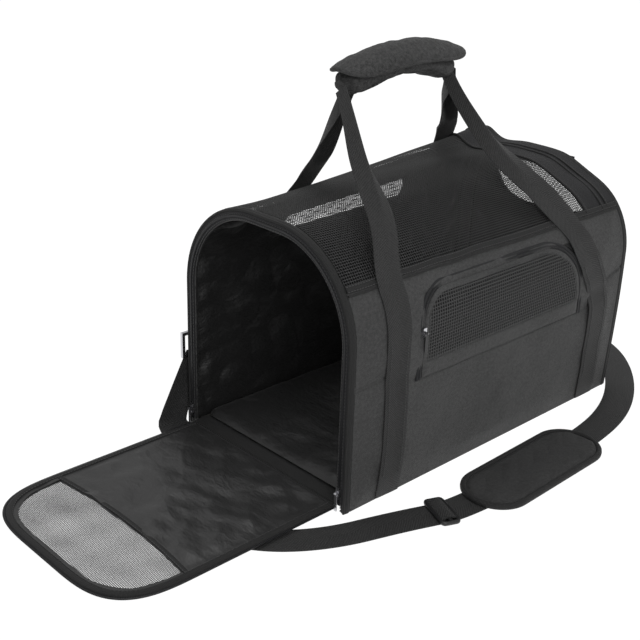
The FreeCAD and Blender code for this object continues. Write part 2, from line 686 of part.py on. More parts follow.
def sliders():
    """Two sliders on each end's zip and one on each pocket's."""
    face = value(f"{FRAME_FACE} + tape_gauge")
    line = value("bag_width / 2 - coil_inset")
    outwards = {"front": Rotation(Vector(0, 0, 1), 180), "rear": Rotation()}
    for side, hand in (("right", -1), ("left", 1)):
        place = Placement(Vector(-face, hand * line, value("front_slider_height")), outwards["front"])
        zip_slider(f"front_{side}_slider", place)
        # at the rear the two sliders meet at the top of the arch, each with its pull trailing
        lie = Rotation(Vector(1, 0, 0), hand * 90)
        start = Vector(face, hand * value(f"{ROUND_CENTRE}"), value("bag_height - coil_inset"))
        zip_slider(f"rear_{side}_slider", Placement(start, lie))
    track = Vector(value("pocket_front - pocket_track_width / 2"), -value("bag_width / 2 + tape_gauge"),
                   value("pocket_slider_height"))
    flat = Placement(track, Rotation(Vector(0, 0, 1), -90))
    zip_slider("right_pocket_slider", flat)
    zip_slider("left_pocket_slider", HALF_TURN.multiply(flat))


# ---- shoulder strap and its fittings ------------------------------------------------------

# the strap's middle line on the floor, from the front hook round the right side to the rear one
SLING_ROUTE = [
    (-268, 132), (-290, 72), (-352, 44), (-378, -32), (-352, -108), (-292, -156), (-206, -184),
    (-136, -213), (92, -208), (196, -188), (288, -134), (352, -64), (366, 14), (330, 76), (284, 86),
    (268, 132),
]


def sling_route():
    """The strap's points, each moved out with the sides of the bag that it goes round."""
    long, wide = value("(bag_length - route_length) / 2"), value("(bag_width - route_width) / 2")
    return [(x + math.copysign(long, x), y + math.copysign(wide, y)) for x, y in SLING_ROUTE]


def longest_run():
    """The number of the route's longest straight run, which the shoulder pad lies on. The
    adjuster is on the run before it."""
    points = sling_route()
    runs = [math.dist(a, b) for a, b in zip(points, points[1:])]
    return runs.index(max(runs))


def round_route(points):
    """Straight runs and tangent arcs through hand-chosen points, each arc as large as its
    two runs allow: pieces of ('line', start, end) or ('arc', start, centre, end, turn)."""
    pieces, last = [], Vector(*points[0], 0)
    for i in range(1, len(points) - 1):
        here = Vector(*points[i], 0)
        back, on = Vector(*points[i - 1], 0) - here, Vector(*points[i + 1], 0) - here
        cut = 0.45 * min(back.Length, on.Length)
        start, end = here + back.normalize() * cut, here + on.normalize() * cut
        turn = math.pi - back.getAngle(on)
        radius = cut / math.tan(turn / 2)
        way = 1 if (back.y * on.x - back.x * on.y) > 0 else -1
        centre = start + Vector(back.y, -back.x, 0) * (way * radius)
        pieces.append(("line", last, start))
        pieces.append(("arc", start, centre, end, way))
        last = end
    pieces.append(("line", last, Vector(*points[-1], 0)))
    return pieces


def route_edge(pieces, shift):
    """The route moved sideways by shift, as connected edges."""
    edges = []
    for kind, start, *rest in pieces:
        if kind == "line":
            end = rest[0]
            side = (end - start).normalize()
            off = Vector(-side.y, side.x, 0) * shift
            edges.append(Part.LineSegment(start + off, end + off).toShape())
            continue
        centre, end, way = rest
        radius = (start - centre).Length
        scale = (radius - way * shift) / radius
        middle = (start + end) * 0.5 - centre
        points = [centre + (p - centre) * scale for p in (start, end)]
        bend = centre + middle.normalize() * radius * scale
        edges.append(Part.Arc(points[0], bend, points[1]).toShape())
    return edges


def sling():
    """The shoulder strap: flat on the floor, bent up at each end to its hook's bar."""
    width, gauge, bend = value("sling_width"), value("sling_gauge"), value("sling_bend")
    route = sling_route()
    pieces = round_route(route)
    left, right = route_edge(pieces, width / 2), route_edge(pieces, -width / 2)

    def cap(a, b):
        return Part.LineSegment(a, b).toShape()

    def ends(edges):
        curve = edges[0].Curve.value(edges[0].FirstParameter), edges[-1].Curve.value(edges[-1].LastParameter)
        return curve

    wires = left + [cap(ends(left)[1], ends(right)[1])] + right + [cap(ends(right)[0], ends(left)[0])]
    ribbon = Part.Face(Part.Wire(Part.__sortEdges__(wires))).extrude(Vector(0, 0, gauge))
    parts = [ribbon]
    plane = value(SLING_PLANE)
    for sign, start in ((-1, route[0]), (1, route[-1])):
        hook = sign * value(RING_PLACE)
        x, y = start
        rise = value("hook_bar_height") - value("hook_bar_gauge") / 2 - value("sling_loop_gap")
        turns = [math.radians(a) for a in (0, 30, 60, 90)]
        # the bend starts where the floor ribbon ends and stands the strip up on its plane
        stations = [
            (Vector(x, plane - bend + bend * math.sin(t), gauge / 2 + bend * (1 - math.cos(t))),
             (1, 0, 0), width, gauge) for t in turns
        ]
        stations[0] = (Vector(x, y, gauge / 2), (1, 0, 0), width, gauge)
        for share in (0.5, 1):
            height = bend + (rise - bend) * share
            stations.append((Vector(x + (hook - x) * share, plane, height), (1, 0, 0), width, gauge))
        parts.append(strip(stations))
    strap = add_part("shoulder_strap", DOC.addObject("Part::Feature", "shoulder_strap"))
    strap.Shape = parts[0].multiFuse(parts[1:])
    length = sum(e.Length for e in route_edge(pieces, 0))
    print("shoulder strap on the floor", round(length, 1), "mm; arc radii",
          [round((p[1] - p[2]).Length) for p in pieces if p[0] == "arc"])


def rounded_loop(half_long, half_wide, radius):
    """A rectangle with round corners, centred."""
    flat_x, flat_y = f"({half_long} - {radius})", f"({half_wide} - {radius})"
    return [
        (half_long, f"-{flat_y}"), (half_long, flat_y, radius, 1),
        (flat_x, half_wide), (f"-{flat_x}", half_wide, radius, 1),
        (f"-({half_long})", flat_y), (f"-({half_long})", f"-{flat_y}", radius, 1),
        (f"-{flat_x}", f"-({half_wide})"), (flat_x, f"-({half_wide})", radius, 1),
    ]


def on_sling(first, share):
    """A placement on the shoulder strap, a share of the way along one run of its route."""
    (x0, y0), (x1, y1) = sling_route()[first:first + 2]
    heading = math.degrees(math.atan2(y1 - y0, x1 - x0))
    return Placement(Vector(x0 + (x1 - x0) * share, y0 + (y1 - y0) * share, 0),
                     Rotation(Vector(0, 0, 1), heading))


def strap_pad():
    """The shoulder pad, which lies over the strap and straddles it, free to slide along."""
    body = new_body("shoulder_pad", on_sling(longest_run(), value("shoulder_pad_share")))
    half = "shoulder_pad_length / 2"
    pad(body, "XY_Plane", [rounded_loop(half, "shoulder_pad_width / 2", "shoulder_pad_round")],
        "shoulder_pad_gauge")
    slot = "sling_width / 2 + pad_side_gap"
    pocket(body, "XY_Plane", [box_loop(f"-{half}", half, f"-({slot})", slot)],
           "2 * (sling_gauge + lay_gap)", symmetric=True)


def adjuster():
    """The plastic slide that sets the strap's length: a frame over it with two slots."""
    body = new_body("strap_adjuster", on_sling(longest_run() - 1, value("adjuster_share")))
    long, wide = "adjuster_length / 2", "adjuster_width / 2"
    pad(body, "XY_Plane", [rounded_loop(long, wide, "adjuster_round")], "adjuster_gauge")
    slot = "sling_width / 2 + sling_side_gap"
    pocket(body, "XY_Plane", [box_loop(f"-{long}", long, f"-({slot})", slot)],
           "2 * (sling_gauge + lay_gap)", symmetric=True)
    bar = "adjuster_bar"
    slots = [box_loop(*ends, f"-({slot})", slot)
             for ends in ((f"-({long} - {bar})", f"-{bar} / 2"), (f"{bar} / 2", f"{long} - {bar}"))]
    pocket(body, "XY_Plane", slots, "3 * adjuster_gauge", symmetric=True)


def sling_fittings(end, sign):
    """The sewn tab, the D-ring in it and the hook that holds the strap's end."""
    lie = Rotation(Vector(0, 1, 0), 90)
    x, y, z = f"{sign} * {RING_PLACE}", SLING_PLANE, "ring_bar_height"
    here = Placement()
    wall = "bag_width / 2"
    plate = block("plate", ("tab_width", "tab_gauge", "tab_height"), (f"{x} - tab_width / 2", wall, z))
    eye_radius = "(ring_gauge / 2 + ring_gap + tab_eye)"
    eye = rod("eye", eye_radius, "tab_width", (f"{x} - tab_width / 2", y, z), lie)
    bore = rod("bore", "ring_gauge / 2 + ring_gap", "2 * tab_width", (f"{x} - tab_width", y, z), lie)
    joined(f"{end}_ring_tab", [plate, eye], here, bore)

    reach = "(ring_inner + ring_gauge / 2)"
    bar = rod("bar", "ring_gauge / 2", f"2 * {reach}", (f"{x} - {reach}", y, z), lie)
    bow = torus("bow", reach, "ring_gauge / 2", (x, y, z), Rotation(Vector(1, 0, 0), 90), 180)
    joined(f"{end}_d_ring", [bar, bow], turned(180, (0, 1, 0), (value(x), 0, value(z))))

    loop = f"({z} - {reach} + ring_gauge / 2 + ring_gap - hook_eye + hook_gauge / 2)"
    hook_eye = torus("hook_eye", "hook_eye", "hook_gauge / 2", (x, y, loop), lie, 360)
    neck_top = f"({loop} - hook_eye)"
    frame_top = f"({neck_top} - hook_neck)"
    neck = rod("neck", "hook_barrel / 2", "hook_neck", (x, y, frame_top))
    outer = "(sling_width / 2 + sling_side_gap + hook_bar_gauge)"
    gauge = "hook_bar_gauge"
    low = f"(hook_bar_height - {gauge} / 2)"
    bars = [block("bar", (f"2 * {outer}", gauge, gauge), (f"{x} - {outer}", f"{y} - {gauge} / 2", level))
            for level in (low, f"{frame_top} - {gauge}")]
    sides = [block("side", (gauge, gauge, f"{frame_top} - {low}"), (f"{x} {place}", f"{y} - {gauge} / 2", low))
             for place in (f"- {outer}", f"+ {outer} - {gauge}")]
    joined(f"{end}_hook", [hook_eye, neck, *bars, *sides], here)


def torus(name, major, minor, centre, turn, angle):
    """A Part torus of expression sizes, turned, with its centre at expressions."""
    ring = DOC.addObject("Part::Torus", name)
    ring.setExpression("Radius1", cells(major))
    ring.setExpression("Radius2", cells(minor))
    ring.Angle3 = angle
    ring.Placement = Placement(Vector(0, 0, 0), turn)
    for axis, expression in zip("xyz", centre):
        ring.setExpression(f"Placement.Base.{axis}", cells(expression))
    return ring


def main():
    base()
    side_wall("right", Placement())
    side_wall("left", HALF_TURN)
    roof()
    for end, place in (("front", Placement()), ("rear", HALF_TURN)):
        end_frame(end, place)
    hinge = (-value(HINGE_PLANE), 0, value("hinge_height"))
    door("front", turned(-90, (0, 1, 0), hinge))
    door("rear", HALF_TURN)
    side_pocket("right", Placement())
    side_pocket("left", HALF_TURN)
    carry_straps()
    grip()
    sliders()
    sling()
    strap_pad()
    adjuster()
    sling_fittings("front", -1)
    sling_fittings("rear", 1)
    export()


def export():
    """Recompute, check every object and write one STEP file for each sub-part."""
    DOC.recompute()
    bad = [o.Name for o in DOC.Objects if {"Invalid", "Error"} & set(o.State)]
    if bad:
        raise RuntimeError(f"these objects failed: {bad}")
    os.makedirs("parts", exist_ok=True)
    for name, obj in PARTS.items():
        shape = obj.Shape
        if shape.isNull() or not shape.isValid() or not shape.Solids:
            raise RuntimeError(f"{name} has no valid solid")
        shape.exportStep(f"parts/{name}.step")
    print(len(PARTS), "sub-parts")


main()
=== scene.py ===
"""A soft-sided pet carrier with arched ends, mesh roof, fold-down front door, zipped side
pockets, padded grip and a flat shoulder strap. Lengths are millimetres until a mesh is made."""

import bpy
import numpy as np
from mathutils import Matrix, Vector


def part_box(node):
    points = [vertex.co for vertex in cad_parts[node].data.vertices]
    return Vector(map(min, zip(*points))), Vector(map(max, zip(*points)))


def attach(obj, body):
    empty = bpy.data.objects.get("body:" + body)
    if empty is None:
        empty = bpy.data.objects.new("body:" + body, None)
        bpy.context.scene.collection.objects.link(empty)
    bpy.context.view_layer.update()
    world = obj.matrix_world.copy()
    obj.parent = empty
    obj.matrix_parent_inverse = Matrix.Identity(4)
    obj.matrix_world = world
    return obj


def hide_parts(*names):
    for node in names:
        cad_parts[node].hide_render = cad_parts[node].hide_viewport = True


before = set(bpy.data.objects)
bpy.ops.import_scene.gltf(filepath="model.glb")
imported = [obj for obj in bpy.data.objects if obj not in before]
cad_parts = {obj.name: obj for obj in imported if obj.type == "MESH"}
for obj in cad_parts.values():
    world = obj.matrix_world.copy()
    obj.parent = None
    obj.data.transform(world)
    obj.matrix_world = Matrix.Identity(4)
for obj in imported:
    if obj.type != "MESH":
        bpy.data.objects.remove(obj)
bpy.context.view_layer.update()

bl_info = {
    "name": "Pet Carrier Bag",
    "version": (1, 0, 0),
    "blender": (4, 5, 0),
    "location": "View3D > Sidebar > Carrier",
    "description": "Builds a soft pet carrier bag around its packed frame",
    "category": "Add Mesh",
}

MM = 0.001
# each side and end of the bag, and the way that turned() takes to reach it
SIDES = (("right", 1), ("left", -1))
ENDS = (("front", 1), ("rear", -1))


# ---- sizes and colours ---------------------------------------------------------------------

def corner(node, which, axis):
    """One number of a node's box in the frame, in metres."""
    return float(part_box(node)[which]["xyz".index(axis)])


def length(name, description, default):
    """A length property, in metres."""
    return bpy.props.FloatProperty(
        name=name, description=description, default=default, min=0, unit="LENGTH", precision=4)


def colour(name, description, red, green, blue):
    """A colour property from display values of 0 to 255."""
    def linear(c):
        c /= 255
        return c / 12.92 if c <= 0.04045 else ((c + 0.055) / 1.055) ** 2.4
    return bpy.props.FloatVectorProperty(
        name=name, description=description, subtype="COLOR", size=3, min=0, max=1,
        default=(linear(red), linear(green), linear(blue)))


class CarrierSizes(bpy.types.PropertyGroup):
    """Sizes of the sewn pieces."""
    bag_width: length("Bag width", "Outside width of the bag", 2 * corner("rear_binding", 1, "y"))
    bag_height: length("Bag height", "Height of the arched ends", corner("rear_binding", 1, "z"))
    shoulder: length("Shoulder radius", "Radius of the arch's round shoulders", 0.112)
    frame_face: length("Frame face", "Distance of the end frames' faces from the middle",
                       corner("rear_binding", 1, "x"))
    wall_end: length("Wall end", "Where the side walls meet the end frames",
                     corner("right_side_panel", 1, "x"))
    seam_height: length("Seam height", "Height of the seam between wall and roof",
                        corner("right_side_panel", 1, "z"))
    thread_pitch: length("Mesh pitch", "Spacing of the roof mesh's threads", 0.0032)
    thread_gauge: length("Thread gauge", "Thickness of the roof mesh's threads", 0.00105)
    webbing: length("Webbing width", "Width of the carry straps", 0.038)
    webbing_gauge: length("Webbing gauge", "Thickness of the carry straps", 0.002)
    strap_width: length("Shoulder strap width", "Width of the shoulder strap", 0.038)
    strap_gauge: length("Shoulder strap gauge", "Thickness of the shoulder strap", 0.0016)
    hinge: length("Hinge place", "Distance of the door hinges from the middle",
                  (corner("rear_hinge_tape", 0, "x") + corner("rear_hinge_tape", 1, "x")) / 2)
    hinge_height: length("Hinge height", "Height of the door hinges",
                         (corner("rear_hinge_tape", 0, "z") + corner("rear_hinge_tape", 1, "z")) / 2)


class CarrierColours(bpy.types.PropertyGroup):
    """Colours of the fabrics, tapes and fittings."""
    shell: colour("Shell fabric", "Charcoal woven polyester of the walls", 64, 64, 64)
    lining: colour("Lining", "Smooth black lining", 27, 27, 27)
    binding: colour("Binding", "Tape that binds the edges", 21, 21, 21)
    webbing: colour("Webbing", "Ribbed webbing of the straps", 38, 38, 38)
    mesh: colour("Mesh", "Threads of the roof, vent and pocket mesh", 64, 64, 64)
    door_mesh: colour("Door mesh", "Threads of the door windows", 72, 72, 73)
    zip_tape: colour("Zip tape", "Tape and coil of the zips", 27, 27, 29)
    grip: colour("Grip fabric", "Quilted fabric of the hand grip", 54, 54, 54)
    pad: colour("Strap pad", "Face of the shoulder pad", 46, 46, 46)
    silver: colour("Silver metal", "Sliders, pulls, rings and hooks", 200, 200, 204)
    plastic: colour("Black plastic", "Strap adjuster", 24, 24, 25)
    board: colour("Board", "Stiff board in the base", 70, 68, 64)


def size(name):
    """A size in millimetres."""
    return getattr(bpy.context.scene.carrier_sizes, name) / MM


# ---- shader graph --------------------------------------------------------------------------

class Signal:
    """A shader socket that sums, differences and products can be written with."""

    def __init__(self, graph, socket):
        self.graph, self.socket = graph, socket

    def combine(self, operation, *others, first=None):
        values = [self, *others] if first is None else [first, self, *others]
        return self.graph.node("ShaderNodeMath", {"operation": operation}, dict(enumerate(values)))

    def __add__(self, other):
        return self.combine("ADD", other)

    def __radd__(self, other):
        return self.combine("ADD", other)

    def __sub__(self, other):
        return self.combine("SUBTRACT", other)

    def __rsub__(self, other):
        return self.combine("SUBTRACT", first=other)

    def __mul__(self, other):
        return self.combine("MULTIPLY", other)

    def __rmul__(self, other):
        return self.combine("MULTIPLY", other)

    def __abs__(self):
        return self.combine("ABSOLUTE")

    def sine(self):
        return self.combine("SINE")

    def clamped(self):
        return self.graph.node("ShaderNodeClamp", {}, {0: self})


class Graph:
    """The nodes of a material or of the world, each made by one call."""

    def __init__(self, owner):
        self.owner = owner
        owner.use_nodes = True
        self.tree = owner.node_tree
        self.tree.nodes.clear()

    @classmethod
    def of_finish(cls, name):
        """The nodes of the material of that name, which the frame may have made already."""
        return cls(bpy.data.materials.get(name) or bpy.data.materials.new(name))

    def node(self, kind, settings, sockets, output=0):
        """A node of that kind: its settings first, then numbers or links on its sockets."""
        made = self.tree.nodes.new(kind)
        for key, setting in settings.items():
            setattr(made, key, setting)
        for key, entry in sockets.items():
            if isinstance(entry, Signal):
                self.tree.links.new(entry.socket, made.inputs[key])
            else:
                made.inputs[key].default_value = entry
        return Signal(self, made.outputs[output]) if len(made.outputs) else None

    def split(self, vector):
        """The three numbers of a vector."""
        made = self.node("ShaderNodeSeparateXYZ", {}, {0: vector}).socket.node
        return [Signal(self, made.outputs[i]) for i in range(3)]

    def place(self, kind="UV"):
        """Where on the piece: its own texture places, or its object's coordinates, in metres."""
        return self.node("ShaderNodeTexCoord", {}, {}, kind)

    def noise(self, vector, scale, detail, roughness):
        return self.node("ShaderNodeTexNoise", {}, {
            "Vector": vector, "Scale": scale, "Detail": detail, "Roughness": roughness})

    def shade(self, base, low, high, signal):
        """The base colour darkened to low and lightened to high as the signal goes 0 to 1."""
        dark = tuple(c * low for c in base) + (1,)
        light = tuple(min(c * high, 1) for c in base) + (1,)
        return self.node("ShaderNodeMix", {"data_type": "RGBA"}, {
            "Factor": signal, 6: dark, 7: light}, 2)

    def seen(self, glossy):
        """1 for rays from the camera or through a surface, and that share for glossy ones."""
        rays = self.node("ShaderNodeLightPath", {}, {}, "Is Camera Ray")
        outputs = rays.socket.node.outputs
        return (rays + Signal(self, outputs["Is Glossy Ray"]) * glossy
                + Signal(self, outputs["Is Transmission Ray"])).clamped()

    def surface(self, fixed, linked, height, strength, depth):
        """The Principled shader: fixed numbers, linked sockets and a bump height."""
        bump = self.node("ShaderNodeBump", {}, {
            "Strength": strength, "Distance": depth, "Height": height})
        shader = self.node("ShaderNodeBsdfPrincipled", {}, {**fixed, **linked, "Normal": bump})
        self.node("ShaderNodeOutputMaterial", {}, {0: shader})


def woven(name, base, pitch, rough, sheen, contrast, strength):
    """Plain weave: bumps from the product of a sine along and a sine across the cloth, with
    flecks and slow cloudy changes of shade from noise."""
    g = Graph.of_finish(name)
    uv = g.place()
    x, y, _ = g.split(uv)
    turns = 2 * np.pi / pitch
    threads = (x * turns).sine() * (y * turns).sine()
    flecks = g.noise(uv, 260, 4, 0.85)
    clouds = g.noise(g.place("Object"), 12, 4, 0.55)
    tone = (threads * 0.2 + flecks * 3.6 + clouds * 1.3 - 1.95).clamped()
    g.surface(
        {"Sheen Weight": sheen, "Sheen Roughness": 0.45, "Specular IOR Level": 0.4},
        {"Base Color": g.shade(base, 1 - contrast, 1 + contrast, tone),
         "Roughness": (rough + clouds * 0.12 - 0.06).clamped()},
        threads * 0.5 + flecks * 0.6 + clouds * 7, strength, 0.0004)


def ribbed(name, base, pitch, rough, slant=0.0, strength=0.6):
    """Webbing and tape: ribs across the strip, slanted both ways from its middle like
    herringbone, and fine cords along it."""
    g = Graph.of_finish(name)
    uv = g.place()
    x, y, _ = g.split(uv)
    ribs = ((x + abs(y) * slant) * (2 * np.pi / pitch)).sine()
    cords = (y * (2 * np.pi / 0.0019)).sine()
    flecks = g.noise(uv, 280, 3, 0.8)
    clouds = g.noise(g.place("Object"), 20, 2, 0.5)
    tone = (ribs * 0.3 + cords * 0.1 + flecks * 2.4 + clouds * 0.5 - 0.95).clamped()
    g.surface(
        {"Sheen Weight": 0.04, "Specular IOR Level": 0.4},
        {"Base Color": g.shade(base, 0.45, 1.6, tone),
         "Roughness": (rough + flecks * 0.15).clamped()},
        ribs * 0.6 + cords * 0.4, strength, 0.0004)


def satin(name, base, rough, wrinkle):
    """Smooth lining cloth: close to plain, with a soft gloss broken by small creases."""
    g = Graph.of_finish(name)
    at = g.place("Object")
    stretched = g.node("ShaderNodeMapping", {}, {"Vector": at, "Scale": (1.0, 0.55, 1.6)})
    creases = g.noise(stretched, 22, 4, 0.55)
    ridges = 1 - abs(creases * 2 - 1)
    grain = g.noise(g.place(), 900, 2, 0.5)
    g.surface(
        {"Specular IOR Level": 0.6, "Sheen Weight": 0.05},
        {"Base Color": g.shade(base, 0.8, 1.25, grain),
         "Roughness": (rough + creases * 0.2 - 0.1).clamped()},
        ridges * wrinkle + grain * 0.08, 0.6, 0.005)


def plain(name, base, rough, metallic=0.0, grain=900.0, strength=0.15, coat=0.0):
    """Moulded plastic, cast metal or spun thread: one colour with fine grain and wear."""
    g = Graph.of_finish(name)
    at = g.place("Object")
    fine = g.noise(at, grain, 3, 0.6)
    worn = g.noise(at, grain / 8, 3, 0.6)
    g.surface(
        {"Metallic": metallic, "Coat Weight": coat, "Specular IOR Level": 0.5},
        {"Base Color": g.shade(base, 0.88, 1.08, worn),
         "Roughness": (rough + fine * 0.14 + worn * 0.1 - 0.12).clamped()},
        fine, strength, 0.0002)


def make_finishes():
    """Every finish, under the record's slot names and a few of their own."""
    c = bpy.context.scene.carrier_colours
    woven("shell_fabric", c.shell, 0.0011, 0.66, 0.05, 0.42, 0.7)
    woven("base_fabric", c.shell, 0.0011, 0.75, 0.03, 0.42, 0.7)
    satin("lining_fabric", c.lining, 0.46, 1.0)
    satin("floor_pad_fabric", c.lining, 0.42, 0.9)
    plain("mesh", c.mesh, 0.6, grain=1500)
    plain("door_mesh", c.door_mesh, 0.6, grain=1500)
    ribbed("binding_tape", c.binding, 0.0014, 0.62)
    ribbed("zip_tape", c.zip_tape, 0.0012, 0.7)
    plain("zip_coil", c.zip_tape, 0.45, grain=1200)
    ribbed("webbing", c.webbing, 0.0030, 0.58, slant=0.7, strength=0.9)
    woven("grip_fabric", c.grip, 0.0022, 0.68, 0.04, 0.8, 1.0)
    woven("pad_fabric", c.pad, 0.0016, 0.7, 0.04, 0.45, 0.9)
    plain("thread", tuple(v * 1.15 for v in c.shell), 0.6, grain=1200)
    plain("slider_metal", c.silver, 0.28, 1.0, 700)
    plain("pull_metal", c.silver, 0.3, 1.0, 700)
    plain("ring_metal", c.silver, 0.26, 1.0, 500)
    plain("spring_steel", c.silver, 0.35, 1.0, 500)
    plain("plastic", c.plastic, 0.4, 0.0, 1400, 0.3, 0.1)
    plain("board", c.board, 0.7, 0.0, 300)


# ---- surfaces ------------------------------------------------------------------------------

def cells(rows, columns, wrap_rows=False, wrap_columns=False):
    """The (row, column) numbers of each grid cell's four corners, before any wrap."""
    i, j = np.meshgrid(np.arange(rows - (not wrap_rows)), np.arange(columns - (not wrap_columns)),
                       indexing="ij")
    i, j = i.ravel(), j.ravel()
    return np.stack([np.stack(p, 1) for p in ((i, j), (i + 1, j), (i + 1, j + 1), (i, j + 1))], 1)


def even(along, across):
    """Texture places on a grid from one row of lengths each way."""
    return np.stack(np.meshgrid(along, across, indexing="ij"), -1)


def run_lengths(path):
    """The distance along a path at each of its points."""
    return np.concatenate([[0], np.cumsum(np.linalg.norm(np.diff(path, axis=0), axis=1))])


def at_lengths(points, along, at):
    """A path's points, or what is given at them, at those distances along it."""
    return np.stack([np.interp(at, along, points[:, k]) for k in range(points.shape[1])], 1)


def spaced(points, count, endpoint=True):
    """Evenly spaced points on a path of straight pieces."""
    along = run_lengths(points)
    return at_lengths(points, along, np.linspace(0, along[-1], count, endpoint=endpoint))


def unit(vectors):
    return vectors / np.maximum(np.linalg.norm(vectors, axis=-1, keepdims=True), 1e-9)


SETTLE_FRONT, SETTLE_LENGTH = -240.0, 450.0


def settle(points):
    """How the soft bag leans. Towards the rear its left shoulder stands higher and squarer and
    its right one sinks: the rise is 42 exp(-((y - 108) / 29)^2) - 8 exp(-((y + 70) / 35)^2),
    growing along the bag and fading out below the shoulders and above the roof. The right of
    the rear end also bulges out along x, by a sine of the height."""
    x, y, z = points.T
    rise = 42 * np.exp(-((y - 108) / 29) ** 2) - 8 * np.exp(-((y + 70) / 35) ** 2)
    share = np.clip((x - SETTLE_FRONT) / SETTLE_LENGTH, 0, 1)
    fade = ease((z - 170) / 90) * (1 - ease((z - 330) / 80))
    bulge = 9 * ease((x - 120) / 130) * np.sin(np.pi * np.clip(z / 300, 0, 1))
    bulge = bulge * (1 - ease((y + 20) / 120)) * (y > -141.5)
    return np.stack([x + bulge, y, z + rise * share * fade], 1)


SHARP_ANGLE = 50.0


class Form:
    """Quads gathered from several closed surfaces, in millimetres."""

    def __init__(self):
        self.points, self.faces, self.places, self.finishes, self.count = [], [], [], [], 0

    def add(self, points, faces, places, finish=0):
        """Join a closed surface. The sum over its faces of centre times area vector is three
        volumes; where that is below zero the faces are turned."""
        points = points.reshape(-1, 3)
        at = points[faces]
        area = np.cross(at[:, 2] - at[:, 0], at[:, 3] - at[:, 1])
        if ((at.mean(1) - points.mean(0)) * area).sum() < 0:
            faces, places = faces[:, ::-1], places[:, ::-1]
        self.points.append(points)
        self.faces.append(faces + self.count)
        self.places.append(places)
        self.finishes.append(np.broadcast_to(finish, len(faces)))
        self.count += len(points)

    def slab(self, outer, inner, places, keep=None, finish=0, lining=None):
        """A sheet with a thickness: an outer grid, the same grid inside it, and a rim round
        every open edge of the kept cells. The rim joins edges that only one cell has."""
        rows, columns = outer.shape[:2]
        grid = cells(rows, columns)
        if keep is not None:
            grid = grid[keep.ravel()]
        top = grid[..., 0] * columns + grid[..., 1]
        spots = places[grid[..., 0], grid[..., 1]]
        half = rows * columns
        a, b = top, np.roll(top, -1, axis=1)
        key = (np.minimum(a, b) * half + np.maximum(a, b)).ravel()
        _, back, counts = np.unique(key, return_inverse=True, return_counts=True)
        lone = counts[back] == 1
        a, b = a.ravel()[lone], b.ravel()[lone]
        at, on = spots.reshape(-1, 2)[lone], np.roll(spots, -1, axis=1).reshape(-1, 2)[lone]
        rim = np.stack([b, a, a + half, b + half], 1)
        faces = np.concatenate([top, (top + half)[:, ::-1], rim])
        all_places = np.concatenate([spots, spots[:, ::-1], np.stack([on, at, at, on], 1)])
        lining = finish if lining is None else lining
        marks = np.concatenate([np.full(len(top), finish), np.full(len(top), lining),
                                np.full(len(rim), finish)])
        self.add(np.concatenate([outer.reshape(-1, 3), inner.reshape(-1, 3)]), faces,
                 all_places, marks)

    def sweep(self, path, across, up, profile, closed=False, finish=0):
        """A profile of (across, up) carried along a path: each ring is the path's point plus
        the profile on its two directions. Open ends are shut by quads across the ring."""
        profile = np.broadcast_to(profile, (len(path),) + profile.shape[-2:])
        rings = (path[:, None] + across[:, None] * profile[..., :1] + up[:, None] * profile[..., 1:])
        rows, columns = rings.shape[:2]
        grid = cells(rows, columns, closed, True)
        along = run_lengths(path)
        along = np.append(along, along[-1] + np.linalg.norm(path[0] - path[-1]))
        ring = profile[len(path) // 2]
        around = run_lengths(np.concatenate([ring, ring[:1]]))
        places = even(along, around - around[-1] / 4)[grid[..., 0], grid[..., 1]]
        faces = (grid[..., 0] % rows) * columns + grid[..., 1] % columns
        if not closed:
            j = np.arange(columns // 2 - 1)
            shut = np.stack([j, j + 1, columns - 2 - j, columns - 1 - j], 1)
            ends = np.concatenate([shut, shut[:, ::-1] + (rows - 1) * columns])
            faces = np.concatenate([faces, ends])
            places = np.concatenate([places, np.zeros((len(ends), 4, 2)) + along[-1]])
        self.add(rings, faces, places, finish)

    def threads(self, paths, normals, gauge):
        """Many thin four-sided tubes at once, one along each row of paths, shut at their ends."""
        along = unit(np.gradient(paths, axis=1))
        across = unit(np.cross(along, normals))
        out = np.cross(across, along)
        turn = 2 * np.pi * (np.arange(4)[:, None] + 0.5) / 4
        rings = (paths[:, :, None] + across[:, :, None] * np.cos(turn) * gauge / 2
                 + out[:, :, None] * np.sin(turn) * gauge / 2)
        count, rows = paths.shape[:2]
        grid = cells(rows, 4, False, True)
        one = grid[..., 0] * 4 + grid[..., 1] % 4
        shut = np.arange(4)
        one = np.concatenate([one, [shut, shut[::-1] + (rows - 1) * 4]])
        faces = (one[None] + np.arange(count)[:, None, None] * rows * 4).reshape(-1, 4)
        places = np.zeros((len(faces), 4, 2))
        places[..., 0] = rings.reshape(-1, 3)[faces][..., 0]
        self.add(rings, faces, places)

    def blocks(self, middles, along, across, up, sizes, finish):
        """Many small bevelled blocks at once, such as stitches and teeth: eight corners at the
        ends drawn in, and a full ring at the middle."""
        long, wide, high = (s / 2 for s in sizes)
        base = np.array([(x * long, a * wide * k, b * high * k)
                         for x, k in ((-1, 0.45), (-0.55, 1), (0.55, 1), (1, 0.45))
                         for a, b in ((1, 1), (1, -1), (-1, -1), (-1, 1))])
        points = (middles[:, None] + along[:, None] * base[:, :1] + across[:, None] * base[:, 1:2]
                  + up[:, None] * base[:, 2:])
        grid = cells(4, 4, False, True)
        one = grid[..., 0] * 4 + grid[..., 1] % 4
        one = np.concatenate([one, [[0, 1, 2, 3], [15, 14, 13, 12]]])
        faces = (one[None] + np.arange(len(middles))[:, None, None] * 16).reshape(-1, 4)
        places = points.reshape(-1, 3)[faces][..., :2]
        self.add(points, faces, places, finish)

